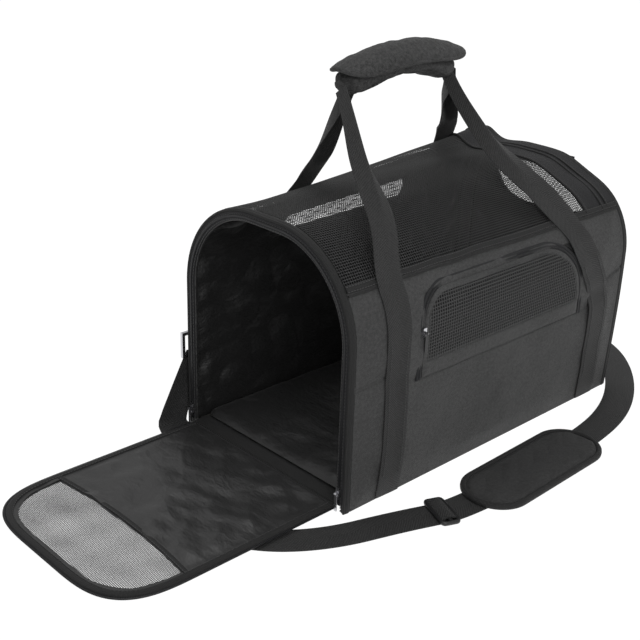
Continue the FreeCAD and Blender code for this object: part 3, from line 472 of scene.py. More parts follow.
    def build(self, name, finishes, body, nodes=(), slot=None):
        """The mesh object, on its body, standing for its nodes."""
        points = settle(np.concatenate(self.points)) * MM
        faces = np.concatenate(self.faces)
        mesh = bpy.data.meshes.new(name)
        mesh.from_pydata(points, [], faces)
        layer = mesh.uv_layers.new(name="Cloth")
        layer.data.foreach_set("uv", (np.concatenate(self.places) * MM).astype(np.float32).ravel())
        marks = np.concatenate(self.finishes).astype(np.int32)
        mesh.polygons.foreach_set("material_index", marks)
        for finish in finishes:
            mesh.materials.append(bpy.data.materials[finish])
        mesh.polygons.foreach_set("use_smooth", np.ones(len(faces), bool))
        mesh.set_sharp_from_angle(angle=np.radians(SHARP_ANGLE))
        mesh.update()
        made = bpy.data.objects.new(name, mesh)
        bpy.context.scene.collection.objects.link(made)
        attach(made, body)
        if nodes:
            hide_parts(*nodes)
        return made


def ripple(a, b, wave, seed, lean=None):
    """Soft random folds: a sum of sine waves of about one wavelength and random heading and
    phase, near a heading where lean is given. Its usual size is 1."""
    terms, rng = 12, np.random.default_rng(seed)
    total = np.zeros(np.broadcast(a, b).shape)
    for _ in range(terms):
        heading = rng.uniform(0, np.pi) if lean is None else lean + rng.normal(0, 0.35)
        long, phase = wave * rng.uniform(0.6, 1.7), rng.uniform(0, 2 * np.pi)
        along = a * np.cos(heading) + b * np.sin(heading)
        total = total + np.sin(2 * np.pi * along / long + phase)
    return total / np.sqrt(terms / 2)


def ease(t):
    """Smooth step: 3 t squared less 2 t cubed, from 0 to 1."""
    t = np.clip(t, 0, 1)
    return t * t * (3 - 2 * t)


def curve_through(points, count):
    """Evenly spaced points on a smooth curve through the given ones: cubic pieces whose
    slope at each point is that of the chord between its neighbours."""
    points = np.asarray(points, float)
    at = run_lengths(points)
    slope = np.gradient(points, at, axis=0)
    want = np.linspace(0, at[-1], count * 4)
    i = np.clip(np.searchsorted(at, want, side="right") - 1, 0, len(at) - 2)
    span = (at[i + 1] - at[i])[:, None]
    t = (want[:, None] - at[i][:, None]) / span
    fine = ((1 + 2 * t) * (1 - t) ** 2 * points[i] + t * (1 - t) ** 2 * span * slope[i]
            + t * t * (3 - 2 * t) * points[i + 1] + t * t * (t - 1) * span * slope[i + 1])
    return spaced(fine, count)


def oval(wide, high, count=12, power=2.0):
    """A closed superellipse profile: cosine and sine to the power 2/n."""
    turn = 2 * np.pi * np.arange(count) / count
    c, s = np.cos(turn), np.sin(turn)
    return np.stack([np.sign(c) * np.abs(c) ** (2 / power) * wide / 2,
                     np.sign(s) * np.abs(s) ** (2 / power) * high / 2], 1)


# ---- the bag's arch ------------------------------------------------------------------------

def arch(s, off=0.0):
    """The arched section: (y, z) and outward normal at distance s round it from the middle of
    the top, moved out by off. Flat top, quarter rounds of the shoulder radius, then straight
    walls to the floor; positive s is the left side."""
    radius, flat = size("shoulder"), size("bag_width") / 2 - size("shoulder")
    a = np.abs(s)
    turn = np.clip((a - flat) / radius, 0, np.pi / 2)
    side = np.where(np.asarray(s) < 0, -1.0, 1.0)
    y = side * (np.minimum(a, flat) + (radius + off) * np.sin(turn))
    z = (size("bag_height") - radius + (radius + off) * np.cos(turn)
         - np.maximum(a - flat - radius * np.pi / 2, 0))
    return y, z, side * np.sin(turn), np.cos(turn)


def along_arch(z):
    """The distance round the arch from the top's middle down to a height."""
    radius, flat = size("shoulder"), size("bag_width") / 2 - size("shoulder")
    rise = np.asarray(z, float) - (size("bag_height") - radius)
    return np.where(rise > 0, flat + radius * np.arccos(np.clip(rise / radius, -1, 1)),
                    flat + radius * np.pi / 2 - rise)


def on_bag(x, s, off):
    """Points on the bag's skin at x along it, s round it and off outside it."""
    x, s, off = np.broadcast_arrays(np.asarray(x, float), s, off)
    y, z, _, _ = arch(s, off)
    return np.stack([x, y, z], -1)


def skin_normal(x, s):
    x, s = np.broadcast_arrays(np.asarray(x, float), s)
    _, _, ny, nz = arch(s)
    return np.stack([np.zeros_like(ny), ny, nz], -1)


def mid_seam(x):
    """The height of the sewn line between a side's two panels, which steps at each strap."""
    return np.interp(x, [-250, -187, -145, 172, 196, 250], [144, 146, 129, 129, 155, 172])


def wall_relief(x, z):
    """How far the padded wall stands out: a crease at the sewn line, a swell above and below
    it that dies at the wall's edges, and soft folds."""
    gap = z - mid_seam(x)
    edge = np.minimum(np.minimum(236 - np.abs(x), z + 2), size("seam_height") - z)
    fade = ease(edge / 26)
    swell = 2.2 * (1 - np.exp(-(gap / 15) ** 2))
    folds = 0.55 * ripple(x, z, 120, 11) + 0.28 * ripple(x, z, 46, 12) + 0.35 * ripple(
        x, z, 70, 13, lean=1.1) * ease((140 - z) / 60)
    return fade * (swell + folds) - 1.3 * np.exp(-(gap / 1.8) ** 2)


# each side's vent slot: front and rear x, low and top z, on the wall or its turned twin
VENTS = {"right": (-118, 135, 200, 222), "left": (-113, 131, 213, 235)}
POCKET_FRONT, POCKET_REAR, POCKET_LOW = -136, 150, 128
POCKET_TOPS = {"right": 226, "left": 203}
POCKET_ROUNDS, POCKET_HEM, POCKET_RIM = (36, 75), 149, 7


def turned(points, way):
    """The same place on the other side or end: turned half round the vertical where way is -1."""
    return points * np.array([way, way, 1.0])


def on_wall(x, z, off, way=1):
    """Points on the right wall at a height and off outside it, or turned to the left wall."""
    return turned(on_bag(x, -along_arch(z), off), way)


def wall_out(x, z, way=1):
    return turned(skin_normal(x, -along_arch(z)), way)


def thicken(middle, gauge, bulge=0.0):
    """The two faces of a sheet about its middle grid, along normals from the grid's slopes.
    The faces draw together towards the side edges by the share that bulge gives."""
    du, dv = np.gradient(middle, axis=0), np.gradient(middle, axis=1)
    out = unit(np.cross(du, dv))
    v = np.linspace(-1, 1, middle.shape[1])[None, :, None]
    half = gauge / 2 * (1 - bulge * np.abs(v) ** 6)
    return middle + out * half, middle - out * half


def paced(path, pitch, start=0.0):
    """Points at an even pitch along a path, the headings there, and a function that reads
    what is given at the path's points at the same places."""
    along = run_lengths(path)
    at = np.arange(start, along[-1], pitch)
    heading = unit(at_lengths(path, along, at + 0.5) - at_lengths(path, along, at - 0.5))
    return at_lengths(path, along, at), heading, lambda given: at_lengths(given, along, at)


STITCH_SIZE, STITCH_GAP, STITCH_LIFT = (2.6, 0.75, 0.6), 1.3, 0.15
TOOTH_SIZE, TOOTH_PITCH = (3.0, 0.95, 1.3), 1.55


def stitch(form, path, up, finish=0):
    """A row of stitches lying on a surface along a path, each a small bevelled block."""
    points, heading, read = paced(path, STITCH_SIZE[0] + STITCH_GAP, 2)
    out = unit(read(np.broadcast_to(up, path.shape)))
    form.blocks(points + out * STITCH_LIFT, heading, np.cross(out, heading), out,
                STITCH_SIZE, finish)


def coil(form, path, across, up, finish):
    """A zip's coil: one tooth at each pitch, across the path."""
    points, heading, read = paced(path, TOOTH_PITCH)
    form.blocks(points, unit(read(across)), heading, unit(read(up)), TOOTH_SIZE, finish)


# ---- walls, roof and base ------------------------------------------------------------------

def in_vent(side, x, z):
    """Inside the round-ended slot of a side's vent."""
    front, rear, low, top = VENTS[side]
    round_end, middle = (top - low) / 2, (top + low) / 2
    dx = np.maximum(np.maximum(front + round_end - x, x - (rear - round_end)), 0)
    return dx ** 2 + (z - middle) ** 2 < round_end ** 2


def vent_outline(side, count=120):
    """The slot's edge: two straight sides and two half rounds, as (x, z)."""
    front, rear, low, top = VENTS[side]
    r, middle = (top - low) / 2, (top + low) / 2
    turn = np.linspace(0, np.pi, count // 4)
    right = np.stack([rear - r + r * np.sin(turn), middle + r * np.cos(turn)], 1)
    left = np.stack([front + r - r * np.sin(turn), middle - r * np.cos(turn)], 1)
    return spaced(np.concatenate([right, left, right[:1]]), count, endpoint=False).T


def ring_sweep(form, path, out, profile, closed=False, finish=0):
    """A sweep whose profile stands on a surface: its first number runs across the path in the
    surface, its second out of it."""
    heading = np.gradient(path, axis=0)
    if closed:
        heading[0], heading[-1] = path[1] - path[-1], path[0] - path[-2]
    across = unit(np.cross(unit(heading), out))
    form.sweep(path, across, out, profile, closed, finish)


def inside_pocket(side, x, z):
    """1 well inside a side's pocket's box, 0 outside it."""
    gap = np.minimum(np.minimum(x - POCKET_FRONT, POCKET_REAR - x),
                     np.minimum(z - POCKET_LOW, POCKET_TOPS[side] - z))
    return ease((gap + 3) / 10)


def side_walls():
    """Padded side walls from the floor to the roof seam, lined inside, with a vent slot."""
    end, seam = size("wall_end"), size("seam_height")
    x = np.linspace(-end, end, 200)[:, None]
    z = np.linspace(0.4, seam, 112)[None, :]
    inner = -2.9 - 2.4 * np.abs(ripple(x, z, 70, 21)) * ease((236 - np.abs(x)) / 20)
    middle_x, middle_z = (x[1:] + x[:-1]) / 2, (z[:, 1:] + z[:, :-1]) / 2
    for side, way in SIDES:
        covered = inside_pocket(side, x, z)
        relief = wall_relief(x, z) * (1 - covered) - 0.4 * covered
        keep = ~in_vent(side, middle_x, middle_z)
        form = Form()
        places = even(x[:, 0], -along_arch(z[0]))
        form.slab(on_wall(x, z, relief, way), on_wall(x, z, inner, way), places, keep, lining=1)
        form.build(f"{side}_wall", ["shell_fabric", "lining_fabric"], "root",
                   [f"{side}_side_panel"], "shell_fabric")
        liner = (ease((middle_x - POCKET_FRONT) / 2) * ease((POCKET_REAR - middle_x) / 2)
                 * ease((POCKET_TOPS[side] - 6 - middle_z) / 2)
                 * ease((middle_z - POCKET_LOW) / 2)) > 0.5
        sheet = Form()
        sheet.slab(on_wall(x, z, 0.5 + 0 * x, way), on_wall(x, z, relief - 0.2, way), places,
                   keep & liner)
        sheet.build(f"{side}_pocket_liner", ["lining_fabric"], "root", slot="lining_fabric")
        trim = Form()
        seam_x = np.linspace(-end, end, 260)
        row = mid_seam(seam_x) - 3.4
        stitch(trim, on_wall(seam_x, row, wall_relief(seam_x, row), way),
               wall_out(seam_x, row, way))
        vx, vz = vent_outline(side)
        ring_sweep(trim, on_wall(vx, vz, -1.5, way), wall_out(vx, vz, way),
                   oval(6.5, 4.6, 10, 3), True, 1)
        trim.build(f"{side}_wall_trim", ["thread", "binding_tape"], "root", slot="shell_fabric")
        net = Form()
        net_of(net, vx, vz, -1.2, way, *VENT_NET)
        net.build(f"{side}_vent_net", ["mesh"], "root", [f"{side}_vent_mesh"], "mesh")


# the spacing and thickness of the threads of the vents and of the pockets
VENT_NET, POCKET_NET = (3.6, 0.5), (3.8, 1.5)


def net_of(form, edge_x, edge_z, off, way, pitch, gauge):
    """Crossed threads that fill an outline on the wall, each ending at the outline."""
    for z in np.arange(edge_z.min() + pitch / 2, edge_z.max(), pitch):
        crossing = crossings(edge_x, edge_z, z)
        if len(crossing) < 2:
            continue
        x = np.linspace(crossing[0], crossing[-1], 60)
        path = on_wall(x, z, off, way)
        form.threads(path[None], wall_out(x, z, way)[None], gauge)
    paths, normals = [], []
    for x in np.arange(edge_x.min() + pitch / 2, edge_x.max(), pitch):
        crossing = crossings(edge_z, edge_x, x)
        if len(crossing) < 2:
            continue
        z = np.linspace(crossing[0], crossing[-1], 14)
        paths.append(on_wall(x, z, off + 0.3, way))
        normals.append(wall_out(x, z, way))
    form.threads(np.array(paths), np.array(normals), gauge)


def crossings(along, height, level):
    """Where a closed outline crosses a level, in order."""
    before, after = height, np.roll(height, -1)
    hit = (before > level) != (after > level)
    share = (level - before[hit]) / (after[hit] - before[hit])
    return np.sort(along[hit] + (np.roll(along, -1)[hit] - along[hit]) * share)


# where the roof's mesh ends and its solid gusset starts, along the bag
GUSSET = 176.0


def roof_drop(x, s):
    """The roof mesh hangs a little between the ends and waves slightly."""
    end, seam = size("wall_end"), float(along_arch(size("seam_height")))
    loose = (1 - (x / end) ** 4) * (1 - (s / seam) ** 2)
    return loose * (-2.6 + 0.7 * ripple(x, s, 150, 31))


def roof():
    """The mesh roof, of ribs along the bag and finer threads across it, and the taped seams
    that join it to the walls."""
    end, seam = size("wall_end"), float(along_arch(size("seam_height")))
    pitch, gauge = size("thread_pitch"), size("thread_gauge")
    form = Form()
    s = np.arange(-seam + pitch / 2, seam, pitch)[:, None]
    x = np.linspace(-end, GUSSET + 4, 40)[None, :]
    form.threads(on_bag(x, s, roof_drop(x, s)), skin_normal(x + 0 * s, s + 0 * x), gauge * 0.85)
    x = np.arange(-end + pitch / 2, GUSSET + 4, pitch)[:, None]
    s = np.linspace(-seam, seam, 46)[None, :]
    form.threads(on_bag(x, s, roof_drop(x, s) - 0.35), skin_normal(x + 0 * s, s + 0 * x), gauge * 0.6)
    form.build("roof_net", ["mesh"], "root", ["top_mesh"], "mesh")
    form = Form()
    x, s = np.linspace(GUSSET, end, 26)[:, None], np.linspace(-seam, seam, 130)[None, :]
    sag = roof_drop(x, s) + 0.5 * ripple(x, s, 60, 32)
    form.slab(on_bag(x, s, 0.7 + sag), on_bag(x, s, -0.9 + sag), even(x[:, 0], s[0]))
    s = np.linspace(-seam, seam, 200)
    for ahead, off, wide in ((0, 1.2, 3.4), (33, 0.9, 2.6), (43, 0.9, 2.6)):
        at = GUSSET + ahead
        path, out = on_bag(at, s, off + roof_drop(at, s)), skin_normal(at, s)
        ring_sweep(form, path, out, oval(wide, 2.8, 10), finish=1)
        stitch(form, path + [wide, 0, 0], out, finish=2)
    form.build("rear_gusset", ["zip_tape", "binding_tape", "thread"], "root", slot="zip_tape")
    for side, way in SIDES:
        form = Form()
        x = np.linspace(-end, end, 160)
        z = size("seam_height") + 1.0
        wave = 0.4 * ripple(x, x * 0, 90, 41)
        path = on_wall(x, z + wave, 0.5, way)
        out = wall_out(x, z + 0 * x, way)
        ring_sweep(form, path, out, oval(8, 2.4, 12, 3.2))
        low = on_wall(x, z - 5.6 + wave, 0.7, way)
        ring_sweep(form, low, wall_out(x, z - 5.6 + 0 * x, way), oval(2.6, 2.2, 10))
        for shift in (-2.2, 2.2):
            stitch(form, on_wall(x, z + shift + wave, 1.6, way), out, finish=1)
        form.build(f"{side}_roof_seam", ["binding_tape", "thread"], "root",
                   [f"{side}_seam_tape"], "binding_tape")


def padded_mat(form, half_x, half_y, low, high):
    """A flat cushion: plan half width from a rounded rectangle, faces crowned by one less the
    edge distance to a power, and soft folds."""
    round_corner, wave = 16, 0.8
    x = half_x * np.sin(np.linspace(-np.pi / 2, np.pi / 2, 110))[:, None]
    over = np.clip(np.abs(x) - (half_x - round_corner), 0, round_corner)
    half = half_y - round_corner + np.sqrt(round_corner ** 2 - over ** 2)
    y = half * np.sin(np.linspace(-np.pi / 2, np.pi / 2, 64))[None, :]
    edge = np.minimum(half_x - np.abs(x), half - np.abs(y))
    crown = 1 - (1 - np.clip(edge / 14, 0, 1)) ** 2.2
    middle = (low + high) / 2
    folds = wave * ripple(x, y, 85, 51) + wave * 0.4 * ripple(x, y, 32, 52)
    top = middle + (high - middle - wave * 1.5) * crown + folds * crown
    bottom = middle - (middle - low) * crown
    xx = np.broadcast_to(x, y.shape)
    form.slab(np.stack([xx, y, top], -1), np.stack([xx, y, bottom], -1),
              np.stack([xx, y], -1))


def base():
    """The floor pad, a crowned cushion, and the outside base panel."""
    low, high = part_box("floor_pad")
    pad = Form()
    padded_mat(pad, high.x / MM, high.y / MM, low.z / MM, high.z / MM)
    made = pad.build("floor_cushion", ["floor_pad_fabric"], "root", ["floor_pad"],
                     "floor_pad_fabric")
    low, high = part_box("bottom_panel")
    x = np.linspace(low.x, high.x, 80)[:, None] / MM
    y = np.linspace(low.y, high.y, 50)[None, :] / MM
    edge = np.minimum(high.x / MM - np.abs(x), high.y / MM - np.abs(y))
    under = 0.3 + 0.5 * np.abs(ripple(x, y, 90, 61)) * ease(edge / 30)
    xx, yy = np.broadcast_arrays(x, y)
    form = Form()
    form.slab(np.stack([xx, yy, under], -1), np.stack([xx, yy, 0 * under + 2.8], -1),
              np.stack([xx, yy], -1), lining=1)
    form.build("base_cloth", ["base_fabric", "lining_fabric"], "root", ["bottom_panel"],
               "base_fabric")


# ---- end frames and doors ------------------------------------------------------------------

def round_arch(low, count):
    """Places round the arch, from a low height on the right side over the top to the left."""
    reach = float(along_arch(low))
    return np.linspace(-reach, reach, count)


def end_ring(way, x, inset, low):
    """A line round an end frame, inset from its outline, with the directions outward and
    along the bag."""
    y, z, ny, nz = arch(round_arch(low, 360), -inset)
    path = np.stack([0 * y - x, y, z], 1)
    out = np.stack([0 * y, ny, nz], 1)
    ahead = np.broadcast_to([-1.0, 0, 0], path.shape)
    return turned(path, way), turned(out, way), turned(ahead, way)


# how far in from the arch each end's inner facing reaches
FACING_INSET = {"front": 13.0, "rear": 21.0}


def end_frames():
    """Each end's bound rim, facing and zip track."""
    face = size("frame_face")
    for end, way in ENDS:
        form = Form()
        path, out, ahead = end_ring(way, face - 3.6, 3.7, 0.2)
        form.sweep(path, out, ahead, oval(8.4, 8.8, 14, 2.6))
        path, out, ahead = end_ring(way, face + 0.6, 1.6, 0.2)
        form.sweep(path, out, ahead, oval(3.4, 3.2, 10))
        path, out, ahead = end_ring(way, face + 1.0, 6.2, 0.2)
        stitch(form, path, ahead, finish=1)
        form.build(f"{end}_rim", ["binding_tape", "thread"], "root",
                   [f"{end}_binding", f"{end}_hoop_wire"], "binding_tape")
        s = round_arch(7, 320)[:, None]
        inner = FACING_INSET[end]
        inset = np.linspace(6.5, inner - 0.5, 7)[None, :]
        wave = 0.5 * ripple(s, inset, 40, 71) * ease((inset - 9) / 8)
        def ring(depth):
            y, z, _, _ = arch(s + 0 * inset, -inset)
            return turned(np.stack([0 * y - face + depth, y, z], -1), way)
        form = Form()
        form.slab(ring(0.3 + wave), ring(2.4 + wave), even(s[:, 0], inset[0]))
        path, out, ahead = end_ring(way, face - 1.6, inner, 7)
        form.sweep(path, out, ahead, oval(2.4, 3.6, 10))
        form.build(f"{end}_inner_facing", ["lining_fabric"], "root", [f"{end}_facing"],
                   "lining_fabric")
        form = Form()
        s = round_arch(10, 320)[:, None]
        inset = np.linspace(3.6, 12.6, 7)[None, :]
        form.slab(ring(-1.3 + 0 * s), ring(-0.2 + 0 * s), even(s[:, 0], inset[0]))
        path, out, ahead = end_ring(way, face + 1.9, 8, 10)
        coil(form, path, out, ahead, finish=1)
        path, out, ahead = end_ring(way, face + 1.3, 11.6, 10)
        stitch(form, path, ahead, finish=2)
        form.build(f"{end}_track", ["zip_tape", "zip_coil", "thread"], "root",
                   [f"{end}_zip_track"], "zip_tape")


def on_door(end, a, y, n):
    """A point of a door at a from its hinge, y across and n towards the bag's inside: the
    front door lies open ahead of the bag, the rear one stands shut."""
    a, y, n = np.broadcast_arrays(np.asarray(a, float), y, n)
    hinge, low = size("hinge"), size("hinge_height")
    if end == "front":
        return np.stack([-hinge - a, y, low + n], -1)
    return np.stack([hinge - n, -y, low + a], -1)


# the superellipse power of each door's tip: 2 is the arch's own round
TIP_POWER = {"front": 3.3, "rear": 2.0}


def door_half(end, a, inset):
    """Half the door's width at a from its hinge: straight sides, then a superellipse round to
    the tip. The front door, spread on the floor, is squarer than the arch that it fills."""
    radius, flat = size("shoulder"), size("bag_width") / 2 - size("shoulder")
    rise = a + size("hinge_height") - (size("bag_height") - radius)
    inner, power = radius - inset, TIP_POWER[end]
    share = np.clip(rise / inner, 0, 1)
    return flat + inner * (1 - share ** power) ** (1 / power)


def door_outline(end, inset, low, count):
    """The door's edge, inset from the arch's outline, evenly spaced from the right side over
    the tip to the left: y, a and the outward directions."""
    radius, flat = size("shoulder"), size("bag_width") / 2 - size("shoulder")
    base = size("bag_height") - radius - size("hinge_height")
    inner, power = radius - inset, TIP_POWER[end]
    turn = np.linspace(0, np.pi / 2, 160)
    y = flat + inner * np.cos(turn) ** (2 / power)
    a = base + inner * np.sin(turn) ** (2 / power)
    half = np.concatenate([[[flat + inner, low]], np.stack([y, a], 1)])
    loop = np.concatenate([half * [-1, 1], half[::-1]])
    y, a = spaced(loop, count).T
    dy, da = np.gradient(y), np.gradient(a)
    long = np.hypot(dy, da)
    return y, a, -da / long, dy / long


def door_ring(end, inset, n):
    """That edge in place, with outward and upper directions."""
    y, a, ny, na = door_outline(end, inset, 3.5, 340)
    path = on_door(end, a, y, n)
    zero = on_door(end, 0, 0, 0)
    out = on_door(end, na, ny, 0) - zero
    up = np.broadcast_to(on_door(end, 0, 0, 1.0) - zero, path.shape)
    return path, out, up


# the front window's lower edge at the door's sides and its dip between, the half width that
# the dip is drawn on, how far in from the arch each window ends, and the rear window's bowl
WINDOW_SIDE_AT, WINDOW_SAG, WINDOW_HALF = 190.0, 6.5, 104.0
WINDOW_INSET = {"front": 23.0, "rear": 25.5}
REAR_WINDOW_LOW, REAR_WINDOW_RISE, REAR_WINDOW_HALF = 212.0, 28.0, 79.0
# how far in from the arch each door's rim, its zip tape and its zip's teeth run
DOOR_RIM = {"front": (16.6, 12.4, 11.2), "rear": (20.2, 15.6, 14.4)}
# the half length of a hinge roll and the reach of its tape over the sill behind it
HINGE_HALF, SILL = 121.0, 22.0


def window_edge(end, y):
    """The sewn lower edge of a door's window: at the front an arc that dips to the hinge at
    the middle, at the rear a bowl, rising with the third power of the distance from it."""
    if end == "front":
        return WINDOW_SIDE_AT - WINDOW_SAG * (1 - (y / WINDOW_HALF) ** 2)
    low = REAR_WINDOW_LOW - size("hinge_height")
    return low + REAR_WINDOW_RISE * (np.abs(y) / REAR_WINDOW_HALF) ** 3


def window_reach(end, a):
    """Half the window's width at a, up to its lower edge: the inverse of window_edge."""
    if end == "front":
        return WINDOW_HALF * np.sqrt(np.clip((a - WINDOW_SIDE_AT) / WINDOW_SAG + 1, 0, None))
    low = REAR_WINDOW_LOW - size("hinge_height")
    return REAR_WINDOW_HALF * (np.clip(a - low, 0, None) / REAR_WINDOW_RISE) ** (1 / 3)


def panel_end(end, v, inset):
    """Where the panel's line at the share v of the door's width meets the window's edge, found
    by drawing the guess half way to the edge again and again."""
    a = window_edge(end, 0 * v) + 0 * v
    for _ in range(60):
        a = (a + window_edge(end, v * door_half(end, a, inset))) / 2
    return a


def door_cloth(end, a, y, seed):
    """Folds of the door's lining: long soft ones along it and small ones near its seams."""
    side = np.minimum(door_half(end, a, 20) - np.abs(y), a - 2)
    fade = ease(side / 14)
    near = np.exp(-np.abs(window_edge(end, y) - a) / 24)
    return fade * (1.2 * ripple(a, y, 95, seed) + 0.6 * ripple(a, y, 36, seed + 1)
                   + 0.9 * near * ripple(a, y, 30, seed + 2, lean=0.3)
                   - 1.1 * np.abs(ripple(a, y, 80, seed + 3, lean=0.9)) ** 0.5 + 0.6)


def door_panel(end, body, seed):
    """A door's lined panel: cloth from its hinge to its window, a border round the window and
    the tape sewn along the window's lower edge."""
    panel = Form()
    u = np.linspace(0, 1, 84)[:, None]
    v = np.linspace(-1, 1, 90)[None, :]
    rim_at = DOOR_RIM[end][0]
    a = 3.2 + (panel_end(end, v, rim_at + 1) - 1.2) * u
    y = v * door_half(end, a, rim_at + 1)
    folds = door_cloth(end, a, y, seed)
    panel.slab(on_door(end, a, y, 1.6 + folds), on_door(end, a, y, -1.6 + 0.4 * folds),
               np.stack([a + 0 * y, y + 0 * a], -1), lining=1)
    rows = [door_outline(end, inset, 187, 260)[:2]
            for inset in np.linspace(rim_at - 1, WINDOW_INSET[end] + 1.2, 7)]
    y, a = (np.stack([row[k] for row in rows], 1) for k in range(2))
    folds = 0.4 * ripple(y, a, 34, seed + 3)
    panel.slab(on_door(end, a, y, 1.5 + folds), on_door(end, a, y, -1.5 + 0 * folds),
               np.stack([y, a], -1), lining=1)
    cross = np.linspace(-1, 1, 120)
    at = panel_end(end, cross, rim_at + 2)
    cross = cross * door_half(end, at, rim_at + 2)
    edge = on_door(end, at, cross, 1.9)
    up = on_door(end, 0, 0, 1.0) - on_door(end, 0, 0, 0)
    ring_sweep(panel, edge, np.broadcast_to(up, edge.shape), oval(5.5, 1.8, 10, 2.6), finish=2)
    for shift in (-2.6, 1.9):
        stitch(panel, on_door(end, at + shift, cross, 2.6), up, finish=3)
    panel.build(f"{end}_door_cloth", ["lining_fabric", "shell_fabric", "binding_tape", "thread"],
                body, [f"{end}_door_panel"], "lining_fabric")


def door_edge(end, body):
    """A door's bound rim, and its half of the zip beside it."""
    rim_at, tape_at, teeth_at = DOOR_RIM[end]
    rim = Form()
    path, out, up = door_ring(end, rim_at, 0.2)
    rim.sweep(path, out, up, oval(8.6, 5.8, 14, 2.4))
    path, out, up = door_ring(end, rim_at + 2.9, 2.9)
    stitch(rim, path, up, finish=1)
    rim.build(f"{end}_door_rim", ["binding_tape", "thread"], body, [f"{end}_door_binding"],
              "binding_tape")
    tape = Form()
    path, out, up = door_ring(end, tape_at, -0.2)
    tape.sweep(path, out, up, oval(4.6, 1.2, 8, 4))
    path, out, up = door_ring(end, teeth_at, 0.6)
    coil(tape, path, out, up, finish=1)
    tape.build(f"{end}_door_zip", ["zip_tape", "zip_coil"], body, [f"{end}_door_zip_tape"],
               "zip_tape")


def hinge_roll(end, way):
    """The taped roll that a door folds about, and its tape over the sill behind it, which
    rises by a half sine."""
    form = Form()
    y = np.linspace(-HINGE_HALF, HINGE_HALF, 90)
    path = on_door(end, 0 * y, y, 0)
    foot = on_door(end, 0, 0, 0)
    side, up = on_door(end, 1.0, 0, 0) - foot, on_door(end, 0, 0, 1.0) - foot
    wave = 1 + 0.05 * ripple(y, 0 * y, 30, 99)
    form.sweep(path, np.broadcast_to(side, path.shape), np.broadcast_to(up, path.shape),
               oval(5.4, 5.2, 12)[None] * wave[:, None, None])
    x = np.linspace(0.6, SILL, 14)[:, None]
    height = size("hinge_height") + 2.6 + 1.6 * np.sin(np.pi * x / SILL)
    top, under = (turned(np.stack(np.broadcast_arrays(
        x - size("hinge"), y[None, :], height + lift), -1), way) for lift in (0.6, -0.6))
    form.slab(top, under, even(x[:, 0], y))
    form.build(f"{end}_hinge_roll", ["binding_tape"], "root", [f"{end}_hinge_tape"],
               "binding_tape")


def doors():
    """Each arched door: lined panel, window of fine mesh, bound rim, half of its zip, hinge."""
    for (end, way), seed in zip(ENDS, (81, 91)):
        body = f"{end}_door"
        door_panel(end, body, seed)
        door_net(end, body)
        door_edge(end, body)
        hinge_roll(end, way)


def door_net(end, body):
    """The window's crossed threads, along the door and across it, ending under its border."""
    pitch, gauge = 1.8, 0.62
    form = Form()
    edge = WINDOW_INSET[end]
    wide = float(door_half(end, panel_end(end, np.ones(1), edge), edge)[0])
    radius, flat = size("shoulder"), size("bag_width") / 2 - size("shoulder")
    y = np.arange(-wide + pitch / 2, wide, pitch)[:, None]
    inner, power = radius - edge, TIP_POWER[end]
    over = np.clip((np.abs(y) - flat) / inner, 0, 1)
    top = (size("bag_height") - radius - size("hinge_height")
           + inner * (1 - over ** power) ** (1 / power))
    low = window_edge(end, y)
    a = low + (top - low) * np.linspace(0, 1, 24)[None, :]
    def lift(a, y):
        return 0.5 * ripple(a, y, 60, 97) - 0.2
    up = on_door(end, 0, 0, 1.0) - on_door(end, 0, 0, 0)
    path = on_door(end, a, y, lift(a, y))
    form.threads(path, np.broadcast_to(up, path.shape), gauge)
    a = np.arange(low.min() + pitch / 2, top.max(), pitch)[:, None]
    reach = np.minimum(door_half(end, a, edge), window_reach(end, a))
    y = reach * np.linspace(-1, 1, 50)[None, :]
    path = on_door(end, a, y, lift(a, y) - 0.25)
    form.threads(path, np.broadcast_to(up, path.shape), gauge)
    form.build(f"{end}_door_net", ["door_mesh"], body, [f"{end}_door_mesh"], "door_mesh")


# ---- pockets -------------------------------------------------------------------------------

def pocket_edge(side, inset, low, count):
    """The pocket's D outline, inset, from its front foot over the top to its rear foot: x, z
    and the outward direction."""
    front, rear, top = POCKET_FRONT + inset, POCKET_REAR - inset, POCKET_TOPS[side] - inset
    low_rear = min(POCKET_ROUNDS[1], top - low - 1 + inset)
    r1, r2 = max(POCKET_ROUNDS[0] - inset, 1), max(low_rear - inset, 1)
    turn = np.linspace(0, np.pi / 2, 24)
    points = np.concatenate([
        [[front, low]],
        np.stack([front + r1 - r1 * np.cos(turn), top - r1 + r1 * np.sin(turn)], 1),
        np.stack([rear - r2 + r2 * np.sin(turn), top - r2 + r2 * np.cos(turn)], 1),
        [[rear, low]]])
    x, z = spaced(points, count).T
    tx, tz = np.gradient(x), np.gradient(z)
    long = np.hypot(tx, tz)
    return x, z, -tz / long, tx / long


